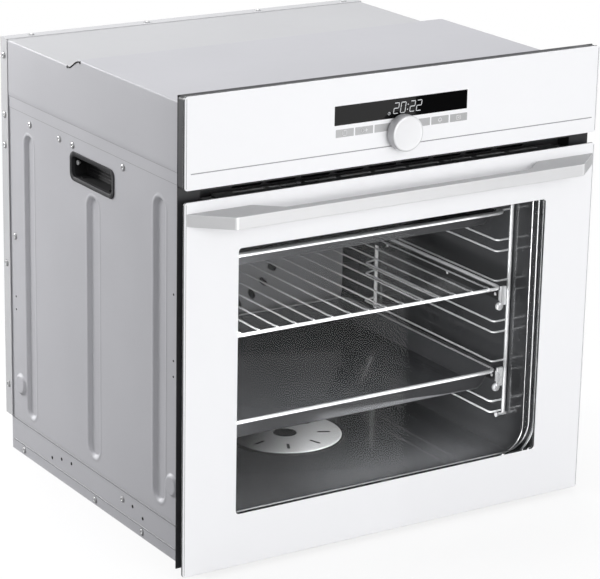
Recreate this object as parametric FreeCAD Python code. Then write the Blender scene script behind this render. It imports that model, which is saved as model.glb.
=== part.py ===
"""Built-in electric wall oven with a drop-down glass door.

Millimetres, +X right seen from the front, +Y to the rear, +Z up.
Every solid is drawn with y = 0 on the front face of the glass and z = 0 under the base pan.
save() then moves it so that the origin is the middle of the footprint.
"""
import FreeCAD, Part
import math
import os

V = FreeCAD.Vector

# ---------------------------------------------------------------- driving dimensions
FRONT_HALF = 297.5          # half width of the glass front
FRONT_TOP = 595.0           # top of the control glass
CONTROL_BOTTOM = 484.7      # lower edge of the control glass
CONTROL_GLASS = 5.0         # its thickness
DOOR_TOP = 470.8            # top edge of the door glass
DOOR_BOTTOM = 6.0           # bottom edge of the door glass
DOOR_GLASS = 4.0            # thickness of the outer door glass
CORNER = 4.0                # corner radius of the glass panels

BODY_HALF = 272.5           # half width of the casing
SHEET = 1.0                 # casing sheet
BODY_REAR = 519.0           # rear face of the rear cover
WRAP_FRONT = 501.0          # front edge of the rear cover's wrap-round flange
FLANGE_FRONT = 16.0         # front of the black frame that rests on the cabinet
FLANGE_REAR = 17.5
FLANGE_BOTTOM = 12.5
FLANGE_TOP = 594.0

TOP_FRONT = 575.0           # raised front part of the top cover
TOP_REAR = 563.0            # lower rear part
STEP_START = 303.0          # where the top slopes down
STEP_END = 331.0
TOP_SKIRT = 490.0           # lower edge of the top cover's side skirts
BASE_TOP = 46.0             # top of the base pan's side walls
REAR_BOTTOM = 47.0          # lower edge of the rear cover

RECESS_HALF = 268.0         # pocket in the frame that the door's inside sits in
RECESS_BOTTOM = 20.0
RECESS_TOP = 478.0
RECESS_BACK = 38.0          # front of the pocket's back plate

CAVITY_HALF = 240.0         # oven cavity, inside faces
CAVITY_FLOOR = 53.0
CAVITY_TOP = 434.0
CAVITY_FRONT = 36.8         # front face of the enamelled flange
CAVITY_REAR = 480.0
CAVITY_WALL = 1.2
CAVITY_CORNER = 34.0
CAVITY_FLANGE = 22.0        # width of the enamelled flange round the mouth

FAN_Z = 278.0               # height of the convection fan
FAN_R = 72.0
SHAFT_R = 3.0               # every turning shaft
MOTOR_R = 36.0              # convection motor
LAMP_X = -150.0             # oven lamp in the ceiling
LAMP_Y = 330.0
LAMP_R = 28.0
PROBE_X = 222.0             # temperature sensor at the rear
PROBE_Z = 404.0
GRILL_Z = CAVITY_TOP - 16.0
GRILL_END_X = 60.0          # where the grill element leaves the cavity
DISC_Y = 247.0              # middle of the round cover in the cavity floor
DISC_R = 75.5
BAFFLE_FRONT = 440.0        # front face of the fan baffle
BAFFLE_HALF = 213.0
BAFFLE_BOTTOM = 112.0
BAFFLE_TOP = 408.0
RING_R = 90.0               # heating ring round the fan
RING_Y = 462.0
RING_GAP = 14.0             # its ends, either side of the middle
RING_END_Z = FAN_Z - math.sqrt(RING_R ** 2 - RING_GAP ** 2)
ELEMENT_R = 3.2             # radius of every heating element
BULGE_HALF = 112.0          # raised middle of the rear cover
BULGE_BOTTOM = 150.0
BULGE_TOP = 404.0
REAR_MAX = 535.0            # rearmost face

HANDLE_FRONT = -39.0        # front of the door handle
HANDLE_BACK = -26.0
HANDLE_BOTTOM = 442.5
HANDLE_TOP = 457.5
HANDLE_Z = (HANDLE_BOTTOM + HANDLE_TOP) / 2.0
HANDLE_SCREW_X = 240.0

HINGE_Y = 9.0               # door hinge axis, parallel to X
HINGE_Z = 12.0
PIN_R = 2.2
FIT = 0.05                  # radial clearance of every running fit
EYE_R = 4.2                 # outside of the hinge arm's eye
ARM_IN = 236.0              # the arm's inner and outer faces
ARM_OUT = 240.0

MIDDLE_FRONT = 15.5         # middle pane of the door
MIDDLE_BACK = 18.5
INNER_FRONT = 27.4          # inner pane, on the back of the door's profiles
INNER_BACK = 31.4
PROFILE_SHEET = 1.5         # wall of the door's aluminium profiles
PROFILE_IN = 247.0          # upright door profiles
PROFILE_OUT = 262.0

KNOB_Z = 520.5
KNOB_R = 22.0
KNOB_FRONT = -16.0
KNOB_BACK = -2.0
KNOB_PUSH = 1.2             # travel of the push switch

RACK_WIRE_X = 214.0         # inner run of the side rack wires
RACK_BAR_X = 236.0          # upright bars of the side racks
RACK_FRONT = 84.5
RACK_REAR = 389.0
RACK_LEVELS = [97.0 + 55.0 * step for step in range(6)]   # lower wire of each level
RACK_PAIR = 15.0            # upper wire above the lower one
RACK_LOW = RACK_LEVELS[0] - 3.0          # ends of the upright bars
RACK_HIGH = RACK_LEVELS[-1] + RACK_PAIR + 8.0
WIRE_R = 1.3
BAR_R = 2.6

RAIL_IN = 203.0             # telescopic rails, inside face
RAIL_OUT = 211.0
RAIL_HEIGHT = 16.0
RAIL_FRONT = 68.0
RAIL_REAR = 432.0
SHELF_HALF = 208.0
SHELF_FRONT = 61.0
SHELF_REAR = 430.0
SHELF_BAR_R = 2.2            # frame of the wire shelf
SHELF_WIRE_R = 1.3
TRAY_SHEET = 1.2

GRIP_FRONT = 218.0          # carry grips in the side panels
GRIP_REAR = 325.0
GRIP_BOTTOM = 422.0
GRIP_TOP = 452.0
GRIP_DEPTH = 23.0

FIX_X = 286.0               # screw holes that fix the oven to its cabinet
FIX_LOW = 95.0
FIX_HIGH = 445.0
FIX_R = 2.25

GLAND_X = -205.0            # cable gland in the rear cover
GLAND_Z = 500.0
GLAND_R = 5.0

BLOWER_Y = 385.0            # cooling blower above the cavity
BLOWER_R = 68.0
BLOWER_TOP = 500.0
IMPELLER_R = 56.0
DUCT_HALF = 225.0           # flat duct from the blower to the front
DUCT_BOTTOM = 463.0
DUCT_TOP = 480.0

DISPLAY_HALF = 97.0         # display unit behind the control glass
DISPLAY_BOTTOM = 536.5
DISPLAY_TOP = 562.5
KEY_PITCH = 27.4            # touch keys beside the knob
KEY_WIDTH = 25.4
KEY_START = -93.5
ORIGIN_Y = (HANDLE_FRONT + REAR_MAX) / 2.0

# Screws in the left side, as (y, z); the right side mirrors them.
SIDE_SCREWS = [(441.0, 463.0), (359.0, 463.0), (323.0, 463.0), (192.0, 465.0), (268.0, 6.8), (145.0, 7.4),
               (470.0, 6.8), (195.0, 34.0), (488.0, 302.0)]
WRAP_SCREWS = [(510.0, 541.0), (510.0, 462.0), (510.0, 421.0), (510.0, 260.0), (510.0, 90.0)]
TOP_SCREWS = [(-235.0, 510.0), (-63.0, 510.0), (110.0, 510.0), (250.0, 510.0)]


# ---------------------------------------------------------------- helpers
def box(x0, x1, y0, y1, z0, z1):
    """A block between the given limits."""
    return Part.makeBox(x1 - x0, y1 - y0, z1 - z0, V(x0, y0, z0))


def rod(start, end, radius):
    """A round bar from one point to another."""
    a, b = V(*start), V(*end)
    return Part.makeCylinder(radius, (b - a).Length, a, b - a)


def tube(start, end, outer, inner):
    """A round tube from one point to another."""
    return rod(start, end, outer).cut(rod(start, end, inner))


def join(shapes):
    """One shape from several that touch or overlap."""
    first, rest = shapes[0], shapes[1:]
    return first.multiFuse(rest).removeSplitter() if rest else first


def group(shapes):
    """Separate solids kept together in one node."""
    return Part.makeCompound(shapes)


def mirrored(shape):
    """The same shape on the other side of the oven."""
    return shape.mirror(V(0, 0, 0), V(1, 0, 0))


def side_of(shape, side):
    """The shape as drawn for the right (+1), or its mirror image for the left (-1)."""
    return shape if side > 0 else mirrored(shape)


def rounded_wire(x0, x1, z0, z1, radius, y):
    """A rectangle with round corners in the plane at depth y."""
    half = math.sqrt(0.5) * radius
    edges = []
    corners = [(x1 - radius, z1 - radius, 1, 1), (x0 + radius, z1 - radius, -1, 1),
               (x0 + radius, z0 + radius, -1, -1), (x1 - radius, z0 + radius, 1, -1)]
    ends = []
    for cx, cz, sx, sz in corners:
        side = V(cx + sx * radius, y, cz)
        level = V(cx, y, cz + sz * radius)
        middle = V(cx + sx * half, y, cz + sz * half)
        first, last = (side, level) if sx * sz > 0 else (level, side)
        edges.append(Part.Arc(first, middle, last).toShape())
        ends.append((first, last))
    for index in range(4):
        edges.append(Part.makeLine(ends[index][1], ends[(index + 1) % 4][0]))
    return Part.Wire(Part.__sortEdges__(edges))


def panel(x0, x1, z0, z1, y0, y1, radius):
    """An upright plate with round corners."""
    return Part.Face(rounded_wire(x0, x1, z0, z1, radius, y0)).extrude(V(0, y1 - y0, 0))


def upright_slot(x, z, length, width, angle, y0, y1):
    """A cutter for a slot with round ends in an upright plate, turned by angle degrees from +X."""
    half = length / 2.0 - width / 2.0
    body = box(-half, half, y0, y1, -width / 2.0, width / 2.0)
    ends = [rod((end, y0, 0), (end, y1, 0), width / 2.0) for end in (-half, half)]
    shape = join([body] + ends)
    shape.rotate(V(0, 0, 0), V(0, -1, 0), angle)
    shape.translate(V(x, 0, z))
    return shape


def swept(points, radius, bend, closed=False):
    """A round wire through the points, with each corner turned by an arc of the given bend radius."""
    corners = [V(*point) for point in points]
    count = len(corners)
    edges = []
    turns = range(count) if closed else range(1, count - 1)
    arcs = {}
    for index in turns:
        corner = corners[index]
        back = (corners[index - 1] - corner).normalize()
        ahead = (corners[(index + 1) % count] - corner).normalize()
        angle = back.getAngle(ahead)
        setback = bend / math.tan(angle / 2.0)
        middle = (back + ahead).normalize()
        depth = bend / math.sin(angle / 2.0) - bend
        arcs[index] = (corner + back * setback, corner + middle * depth, corner + ahead * setback)
    for index in range(count if closed else count - 1):
        following = (index + 1) % count
        start = arcs[index][2] if index in arcs else corners[index]
        end = arcs[following][0] if following in arcs else corners[following]
        edges.append(Part.makeLine(start, end))
        if following in arcs:
            edges.append(Part.Arc(*arcs[following]).toShape())
    path = Part.Wire(Part.__sortEdges__(edges))
    start = path.Edges[0].valueAt(path.Edges[0].FirstParameter)
    along = path.Edges[0].tangentAt(path.Edges[0].FirstParameter)
    profile = Part.Wire([Part.Circle(start, along, radius).toShape()])
    return path.makePipeShell([profile], True, False)


def save(name, shape):
    """Write one node, with the origin in the middle of the footprint."""
    placed = shape.copy()
    placed.translate(V(0, -ORIGIN_Y, 0))
    placed.exportStep("parts/" + name + ".step")


# ---------------------------------------------------------------- casing
def screw(point, direction, head_r=3.6, head=1.8, shank_r=1.5, shank=5.0):
    """A pan-head screw whose head sits on a face at point and whose shank goes the other way."""
    out = V(*direction)
    base = V(*point)
    body = Part.makeCylinder(shank_r, shank, base, out * -1.0)
    top = Part.makeCylinder(head_r, head, base, out)
    recess = Part.makeBox(4.0, 0.9, 1.0, V(-2.0, -0.45, 0))
    recess.Placement = FreeCAD.Placement(base + out * (head - 0.8), FreeCAD.Rotation(V(0, 0, 1), out))
    return join([body, top]).cut(recess)


def screw_holes(points, direction, radius=1.7, length=8.0):
    """Cutters for the holes that the screws pass through."""
    out = V(*direction)
    return [Part.makeCylinder(radius, 2 * length, V(*point) + out * length, out * -1.0)
            for point in points]


def side_screws(side):
    """Where the screws sit on the side panel and on the base pan's side wall."""
    return [(side * BODY_HALF, y, z) for y, z in SIDE_SCREWS]


def wrap_screws(side):
    """Where the screws sit on the side of the rear cover's flange."""
    face = side * (BODY_HALF + 2 * SHEET)
    return [(face, y, z) for y, z in WRAP_SCREWS]


def top_wrap_screws():
    """Where the screws sit on the top of the rear cover's flange."""
    return [(x, y, TOP_REAR + SHEET) for x, y in TOP_SCREWS]


def base_pan():
    """Shallow tray that the oven stands on, open at the front for the hinge arms."""
    outer = box(-BODY_HALF, BODY_HALF, FLANGE_REAR, 505, 0, BASE_TOP)
    inner = box(-BODY_HALF + SHEET, BODY_HALF - SHEET, 0, 505 - SHEET, SHEET, BASE_TOP + 1)
    holes = []
    for side in (-1, 1):
        holes += screw_holes([p for p in side_screws(side) if p[2] < BASE_TOP], (side, 0, 0))
    return outer.cut(join([inner] + holes))


def side_panel(side):
    """Side wall with the opening for the carry grip, drawn on the right."""
    wall = box(BODY_HALF - SHEET, BODY_HALF, FLANGE_REAR, WRAP_FRONT + 12, BASE_TOP, 520)
    rear_fold = box(BODY_HALF - 12, BODY_HALF - SHEET, WRAP_FRONT + 11, WRAP_FRONT + 12, BASE_TOP, 520)
    grip = box(BODY_HALF - 2, BODY_HALF + 1, GRIP_FRONT, GRIP_REAR, GRIP_BOTTOM, GRIP_TOP)
    holes = screw_holes([p for p in side_screws(1) + wrap_screws(1) if BASE_TOP < p[2] < 520], (1, 0, 0))
    return side_of(join([wall, rear_fold]).cut(join([grip] + holes)), side)


def top_cover():
    """Roof with a raised front part, a slope, a lower rear part and two side skirts."""
    half = BODY_HALF + SHEET
    outline = [(FLANGE_REAR, TOP_FRONT), (STEP_START, TOP_FRONT), (STEP_END, TOP_REAR), (515, TOP_REAR)]
    upper = [V(-half, y, z) for y, z in outline]
    floor = [V(-half, 515, TOP_SKIRT), V(-half, FLANGE_REAR, TOP_SKIRT)]
    outer = Part.Face(Part.makePolygon(upper + floor + upper[:1])).extrude(V(2 * half, 0, 0))
    lowered = [V(-half + SHEET, y, z - SHEET) for y, z in outline]
    under = [V(-half + SHEET, 515, TOP_SKIRT - 5), V(-half + SHEET, FLANGE_REAR, TOP_SKIRT - 5)]
    inner = Part.Face(Part.makePolygon(lowered + under + lowered[:1])).extrude(V(2 * BODY_HALF, 0, 0))
    holes = screw_holes(top_wrap_screws(), (0, 0, 1))
    for side in (-1, 1):
        holes += screw_holes([p for p in wrap_screws(side) if p[2] > TOP_SKIRT], (side, 0, 0))
    return outer.cut(join([inner] + holes))


def rear_cover():
    """Rear wall with a wrap-round flange, a raised middle, louvres and the cable hole."""
    half = BODY_HALF + 2 * SHEET
    top = TOP_REAR + SHEET
    shell = box(-half, half, WRAP_FRONT, BODY_REAR, REAR_BOTTOM, top)
    hollow = box(-half + SHEET, half - SHEET, WRAP_FRONT - 1, BODY_REAR - SHEET, REAR_BOTTOM - 1, top - SHEET)
    bulge = panel(-BULGE_HALF, BULGE_HALF, BULGE_BOTTOM, BULGE_TOP, BODY_REAR - SHEET, REAR_MAX, 18)
    bulge_hollow = panel(-BULGE_HALF + SHEET, BULGE_HALF - SHEET, BULGE_BOTTOM + SHEET, BULGE_TOP - SHEET,
                         BODY_REAR - 3, REAR_MAX - SHEET, 17)
    cutters = [rod((GLAND_X, 510, GLAND_Z), (GLAND_X, 525, GLAND_Z), GLAND_R + 3.0)]
    for row in range(5):
        cutters.append(upright_slot(0, BULGE_BOTTOM + 34 + 14 * row, 130, 5, 0, 530, 540))
    for side in (-1, 1):
        for row in range(9):
            cutters.append(upright_slot(side * 190, 110 + 16 * row, 70, 5, 0, 510, 525))
        cutters += screw_holes(wrap_screws(side), (side, 0, 0))
    cutters += screw_holes(top_wrap_screws(), (0, 0, 1))
    return join([shell.cut(hollow), bulge]).cut(join([bulge_hollow] + cutters))


def carry_grip(side):
    """Plastic pocket pressed into the side panel, drawn on the right."""
    mouth = BODY_HALF
    bezel = box(mouth, mouth + 1.5, GRIP_FRONT - 4, GRIP_REAR + 4, GRIP_BOTTOM - 4, GRIP_TOP + 4)
    body = box(mouth - GRIP_DEPTH, mouth, GRIP_FRONT + 0.2, GRIP_REAR - 0.2,
               GRIP_BOTTOM + 0.2, GRIP_TOP - 0.2)
    pocket = box(mouth - GRIP_DEPTH + 1.5, mouth + 3, GRIP_FRONT + 2, GRIP_REAR - 2,
                 GRIP_BOTTOM + 2, GRIP_TOP - 2)
    return side_of(join([bezel, body]).cut(pocket), side)


def casing_screws():
    screws = [screw(p, (0, 0, 1)) for p in top_wrap_screws()]
    for side in (-1, 1):
        screws += [screw(p, (side, 0, 0)) for p in side_screws(side) + wrap_screws(side)]
    return group(screws)


def cable_gland():
    """Round gland with a nut on each side of the rear cover and a bore for the supply cable."""
    barrel = rod((GLAND_X, 508, GLAND_Z), (GLAND_X, 530, GLAND_Z), GLAND_R + 2.8)
    collar = rod((GLAND_X, BODY_REAR, GLAND_Z), (GLAND_X, BODY_REAR + 4, GLAND_Z), GLAND_R + 6)
    nut = rod((GLAND_X, BODY_REAR - 5, GLAND_Z), (GLAND_X, BODY_REAR - SHEET, GLAND_Z), GLAND_R + 5)
    bore = rod((GLAND_X, 507, GLAND_Z), (GLAND_X, 531, GLAND_Z), GLAND_R)
    return join([barrel, collar, nut]).cut(bore)


def terminal_block():
    """Screw terminals for the supply cable, on a small bracket."""
    body = box(GLAND_X - 30, GLAND_X + 30, 455, 482, GLAND_Z - 12, GLAND_Z + 10)
    plate = box(GLAND_X - 36, GLAND_X + 36, 450, 490, GLAND_Z - 14, GLAND_Z - 12)
    wells = [rod((GLAND_X - 22 + 11 * n, 468, GLAND_Z - 4), (GLAND_X - 22 + 11 * n, 468, GLAND_Z + 11), 3)
             for n in range(5)]
    return join([body, plate]).cut(join(wells))


# ---------------------------------------------------------------- front frame and cavity
def front_frame():
    """Black frame: cabinet flange, a pocket for the door and the plate behind the controls."""
    flange = box(-FRONT_HALF, FRONT_HALF, FLANGE_FRONT, FLANGE_REAR, FLANGE_BOTTOM, FLANGE_TOP)
    pocket_outer = box(-RECESS_HALF - SHEET, RECESS_HALF + SHEET, FLANGE_REAR, RECESS_BACK + SHEET,
                       RECESS_BOTTOM - SHEET, RECESS_TOP + SHEET)
    pocket = box(-RECESS_HALF, RECESS_HALF, FLANGE_FRONT - 1, RECESS_BACK, RECESS_BOTTOM, RECESS_TOP)
    mouth_half = CAVITY_HALF + 6
    mouth = panel(-mouth_half, mouth_half, CAVITY_FLOOR - 6, CAVITY_TOP + 6,
                  RECESS_BACK - 1, RECESS_BACK + 3, 36)
    cutters = [pocket, mouth]
    for side in (-1, 1):
        cutters.append(side_of(box(ARM_IN - 2, ARM_OUT + 2, 15, 19, 7, 18), side))
        for z in (FIX_LOW, FIX_HIGH):
            cutters.append(rod((side * FIX_X, 10, z), (side * FIX_X, 20, z), FIX_R))
    for n in range(-4, 5):
        cutters.append(upright_slot(48 * n, 471.5, 42, 7, 0, RECESS_BACK - 1, RECESS_BACK + 3))
    cutters.append(box(-12, 12, 15, 19, KNOB_Z - 12, KNOB_Z + 12))
    cutters.append(box(-105, 105, 15, 19, 536, 563))
    return join([flange, pocket_outer]).cut(join(cutters))


def cavity_shell():
    """Enamelled oven liner, open at the front, with a flange round its mouth."""
    wall = CAVITY_WALL
    outer = panel(-CAVITY_HALF - wall, CAVITY_HALF + wall, CAVITY_FLOOR - wall, CAVITY_TOP + wall,
                  RECESS_BACK, CAVITY_REAR + wall, CAVITY_CORNER + wall)
    flange = panel(-CAVITY_HALF - CAVITY_FLANGE, CAVITY_HALF + CAVITY_FLANGE, CAVITY_FLOOR - CAVITY_FLANGE,
                   CAVITY_TOP + CAVITY_FLANGE, CAVITY_FRONT, RECESS_BACK, CAVITY_CORNER + 14)
    inner = panel(-CAVITY_HALF, CAVITY_HALF, CAVITY_FLOOR, CAVITY_TOP, CAVITY_FRONT - 1, CAVITY_REAR,
                  CAVITY_CORNER)
    cutters = [inner, rod((0, 470, FAN_Z), (0, 490, FAN_Z), 9)]
    for x in (-RING_GAP, RING_GAP):
        cutters.append(rod((x, 470, RING_END_Z), (x, 490, RING_END_Z), 4.5))
    for x in (-GRILL_END_X, GRILL_END_X):
        cutters.append(rod((x, 470, GRILL_Z), (x, 490, GRILL_Z), 4.5))
    cutters.append(rod((LAMP_X, LAMP_Y, CAVITY_TOP - 3), (LAMP_X, LAMP_Y, CAVITY_TOP + 8), LAMP_R - 4))
    cutters.append(rod((PROBE_X, 470, PROBE_Z), (PROBE_X, 490, PROBE_Z), 3.5))
    return join([outer, flange]).cut(join(cutters))


def door_gasket():
    """Silicone seal in a ring round the cavity mouth."""
    x = CAVITY_HALF + 11
    low, high = CAVITY_FLOOR - 11, CAVITY_TOP + 11
    front = CAVITY_FRONT - 4.9
    outer = panel(-x - 4, x + 4, low - 4, high + 4, front, CAVITY_FRONT, CAVITY_CORNER + 12)
    inner = panel(-x + 4, x - 4, low + 4, high - 4, front - 1, CAVITY_FRONT + 1, CAVITY_CORNER + 4)
    return outer.cut(inner)


def insulation_blanket():
    """Glass-wool blanket wrapped round the cavity, with cut-outs for what passes through it."""
    near = CAVITY_WALL + 0.4
    outer = box(-CAVITY_HALF - 24, CAVITY_HALF + 24, RECESS_BACK + 3, CAVITY_REAR + 18,
                CAVITY_FLOOR - 26, CAVITY_TOP + 25)
    inner = box(-CAVITY_HALF - near, CAVITY_HALF + near, RECESS_BACK + 2, CAVITY_REAR + near,
                CAVITY_FLOOR - 12, CAVITY_TOP + near)
    cutters = [inner, rod((0, 470, FAN_Z), (0, 510, FAN_Z), 45)]
    for side in (-1, 1):
        cutters.append(side_of(box(BODY_HALF - GRIP_DEPTH - 1.5, BODY_HALF + 5, GRIP_FRONT - 3, GRIP_REAR + 3,
                                   GRIP_BOTTOM - 3, GRIP_TOP + 13), side))
    cutters.append(box(-24, 24, 470, 510, RING_END_Z - 8, RING_END_Z + 8))
    cutters.append(box(-GRILL_END_X - 8, GRILL_END_X + 8, 470, 510, GRILL_Z - 6, GRILL_Z + 6))
    cutters.append(rod((LAMP_X, LAMP_Y, CAVITY_TOP - 3), (LAMP_X, LAMP_Y, CAVITY_TOP + 30), LAMP_R + 1))
    cutters.append(rod((PROBE_X, 470, PROBE_Z), (PROBE_X, 510, PROBE_Z), 5))
    cutters.append(box(PROBE_X - 9, PROBE_X + 9, 470, 484, PROBE_Z - 6, PROBE_Z + 16))
    cutters.append(box(70, 90, 470, 510, CAVITY_FLOOR - 12, CAVITY_FLOOR))
    cutters.append(box(-90, -70, 470, 510, CAVITY_FLOOR - 12, CAVITY_FLOOR))
    return outer.cut(join(cutters))


def fan_baffle():
    """Grey cover over the fan, with radial slots, a middle grille and edges turned back."""
    front = panel(-BAFFLE_HALF, BAFFLE_HALF, BAFFLE_BOTTOM, BAFFLE_TOP, BAFFLE_FRONT, CAVITY_REAR - 0.3, 14)
    hollow = panel(-BAFFLE_HALF + SHEET, BAFFLE_HALF - SHEET, BAFFLE_BOTTOM + SHEET, BAFFLE_TOP - SHEET,
                   BAFFLE_FRONT + SHEET, CAVITY_REAR, 13)
    cutters = [hollow]
    for n in range(30):
        turn = math.radians(12 * n + 4)
        cutters.append(upright_slot(114 * math.cos(turn), FAN_Z + 114 * math.sin(turn), 17, 8.5, 12 * n + 4,
                                    BAFFLE_FRONT - 1, BAFFLE_FRONT + 3))
    for ring, count in ((14, 6), (30, 12), (46, 18)):
        for n in range(count):
            turn = 2 * math.pi * n / count
            x, z = ring * math.cos(turn), FAN_Z + ring * math.sin(turn)
            cutters.append(rod((x, BAFFLE_FRONT - 1, z), (x, BAFFLE_FRONT + 3, z), 4.2))
    for x, z in baffle_fixings():
        cutters.append(rod((x, BAFFLE_FRONT - 1, z), (x, BAFFLE_FRONT + 3, z), 1.9))
    return front.cut(join(cutters))


def baffle_fixings():
    return [(sx * (BAFFLE_HALF - 16), z) for sx in (-1, 1) for z in (BAFFLE_BOTTOM + 16, BAFFLE_TOP - 16)]


def baffle_screws():
    """Screws and spacers that hold the baffle off the rear wall."""
    parts = []
    for x, z in baffle_fixings():
        parts.append(screw((x, BAFFLE_FRONT, z), (0, -1, 0), head_r=4.2, shank_r=1.8, shank=SHEET + 8))
        parts.append(tube((x, BAFFLE_FRONT + SHEET, z), (x, CAVITY_REAR, z), 4.0, 1.9))
    return group(parts)


def ring_element():
    """Round heating element round the fan, with two ends through the rear wall."""
    loop = Part.makeTorus(RING_R, ELEMENT_R, V(0, RING_Y, FAN_Z), V(0, 1, 0))
    gap = box(-RING_GAP, RING_GAP, RING_Y - 10, RING_Y + 10, FAN_Z - RING_R - 10, FAN_Z - RING_R + 10)
    parts = [loop.cut(gap)]
    for x in (-RING_GAP, RING_GAP):
        parts.append(Part.makeSphere(ELEMENT_R, V(x, RING_Y, RING_END_Z)))
        parts.append(rod((x, RING_Y, RING_END_Z), (x, 494, RING_END_Z), ELEMENT_R))
    return join(parts)


def grill_element():
    """Hairpin element under the ceiling."""
    end, edge, z = GRILL_END_X, 190, GRILL_Z
    points = [(-end, 494, z), (-end, 425, z), (-edge, 425, z), (-edge, 95, z), (-95, 95, z), (-95, 360, z),
              (0, 360, z), (0, 95, z), (95, 95, z), (95, 360, z), (edge, 360, z), (edge, 425, z),
              (end, 425, z), (end, 494, z)]
    return swept(points, ELEMENT_R, 18.0)


def bottom_element():
    """Loop of tube under the cavity floor."""
    z = CAVITY_FLOOR - 7
    points = [(-80, 494, z), (-80, 440, z), (-180, 440, z), (-180, 110, z), (180, 110, z), (180, 440, z),
              (80, 440, z), (80, 494, z)]
    return swept(points, ELEMENT_R, 20.0)


def floor_disc():
    """Round steel cover in the cavity floor with eight slots and a middle well."""
    x, y, z = 0.0, DISC_Y, CAVITY_FLOOR
    disc = Part.makeCylinder(DISC_R, 1.6, V(x, y, z))
    rim = Part.makeCone(DISC_R, DISC_R - 2, 0.8, V(x, y, z + 1.6))
    cutters = [Part.makeCylinder(16.0, 1.4, V(x, y, z + 1.0))]
    for n in range(8):
        turn = math.radians(-27 - 45 * n)
        slot = upright_slot(0, 0, 18, 4, 0, -1, 4)
        slot.rotate(V(0, 0, 0), V(1, 0, 0), 90)
        slot.translate(V(51.5, 0, 0))
        slot.rotate(V(0, 0, 0), V(0, 0, 1), math.degrees(turn))
        slot.translate(V(x, y, z + 1.2))
        cutters.append(slot)
    return join([disc, rim]).cut(join(cutters))


# ---------------------------------------------------------------- racks, rails, shelf and trays
def side_rack(side):
    """Wire ladder with six levels, drawn on the right."""
    wires = []
    for level in RACK_LEVELS:
        for z in (level, level + RACK_PAIR):
            points = [(RACK_BAR_X, RACK_FRONT, z), (RACK_WIRE_X, RACK_FRONT, z),
                      (RACK_WIRE_X, RACK_REAR - 10, z), (RACK_BAR_X, RACK_REAR, z)]
            wires.append(swept(points, WIRE_R, 6.0))
    bars = [rod((RACK_BAR_X, y, RACK_LOW), (RACK_BAR_X, y, RACK_HIGH), BAR_R)
            for y in (RACK_FRONT, RACK_REAR)]
    return side_of(join(wires + bars), side)


def rack_studs():
    """Headed studs in the cavity walls, under and over the racks' upright bars."""
    radius = 2.0
    studs = []
    for side in (-1, 1):
        for y in (RACK_FRONT, RACK_REAR):
            for z in (RACK_LOW - radius - 0.1, RACK_HIGH + radius + 0.1):
                pin = rod((side * CAVITY_HALF, y, z), (side * 226, y, z), radius)
                head = rod((side * 226, y, z), (side * 224, y, z), 3.1)
                studs.append(join([pin, head]))
    return group(studs)


def rail_level(level):
    """Bottom of the telescopic rail that is clipped to a rack level."""
    return RACK_LEVELS[level] - 3.5


def rail_fixed(level, side):
    """Outer channel of a telescopic rail, open towards the middle, drawn on the right."""
    z = rail_level(level)
    body = box(RAIL_IN + 5.0, RAIL_OUT, RAIL_FRONT, RAIL_REAR, z, z + RAIL_HEIGHT)
    groove = box(RAIL_IN + 4.0, RAIL_OUT - 1.2, RAIL_FRONT - 1, RAIL_REAR + 1, z + 1.2, z + RAIL_HEIGHT - 1.2)
    clips = [box(RAIL_OUT, RAIL_OUT + 1.0, y - 6, y + 6, z + 4, z + RAIL_HEIGHT - 4)
             for y in (100.0, 370.0)]
    return side_of(join([body.cut(groove)] + clips), side)


def rail_middle(level, side):
    """Middle member that runs in the fixed channel, drawn on the right."""
    z = rail_level(level)
    web = box(RAIL_IN + 2.6, RAIL_OUT - 2.0, RAIL_FRONT + 2, RAIL_REAR - 4, z + 5.4, z + RAIL_HEIGHT - 5.4)
    outer_lip = box(RAIL_OUT - 3.2, RAIL_OUT - 1.7, RAIL_FRONT + 2, RAIL_REAR - 4, z + 2.0,
                    z + RAIL_HEIGHT - 2.0)
    return side_of(join([web, outer_lip]), side)


def rail_slide(level, side):
    """Inner member that carries the shelf or tray, with front and rear posts, drawn on the right."""
    z = rail_level(level)
    front = RAIL_FRONT - 6
    channel = box(RAIL_IN, RAIL_IN + 4.4, front, RAIL_REAR - 5, z + 1, z + RAIL_HEIGHT - 1)
    groove = box(RAIL_IN + 1.2, RAIL_IN + 5.0, front - 1, RAIL_REAR, z + 4.8, z + RAIL_HEIGHT - 4.8)
    post = box(RAIL_IN - 1.0, RAIL_OUT - 1.0, SHELF_FRONT - 6, SHELF_FRONT - 3.3, z - 4, z + RAIL_HEIGHT + 5)
    foot = box(RAIL_IN, RAIL_IN + 4.4, SHELF_FRONT - 3.3, front, z + 1, z + RAIL_HEIGHT - 1)
    rear_post = box(RAIL_IN, RAIL_IN + 4.4, RAIL_REAR - 7.6, RAIL_REAR - 5, z + RAIL_HEIGHT - 1,
                    z + RAIL_HEIGHT + 4)
    return side_of(join([channel.cut(groove), post, foot, rear_post]), side)


def wire_shelf():
    """Chromed grid: a round frame with wires from front to rear."""
    z = rail_level(3) + RAIL_HEIGHT - 1.0 + SHELF_BAR_R
    half = SHELF_HALF - SHELF_BAR_R
    level = z + SHELF_BAR_R + 0.2
    frame = swept([(-half, SHELF_FRONT, z), (half, SHELF_FRONT, z), (half, SHELF_REAR - 9, z),
                   (-half, SHELF_REAR - 9, z)], SHELF_BAR_R, 10.0, closed=True)
    wires = []
    for n in range(-7, 8):
        x = 26.4 * n
        wires.append(rod((x, SHELF_FRONT - 1.5, level), (x, SHELF_REAR - 7.5, level), SHELF_WIRE_R))
    return join([frame] + wires)


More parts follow.
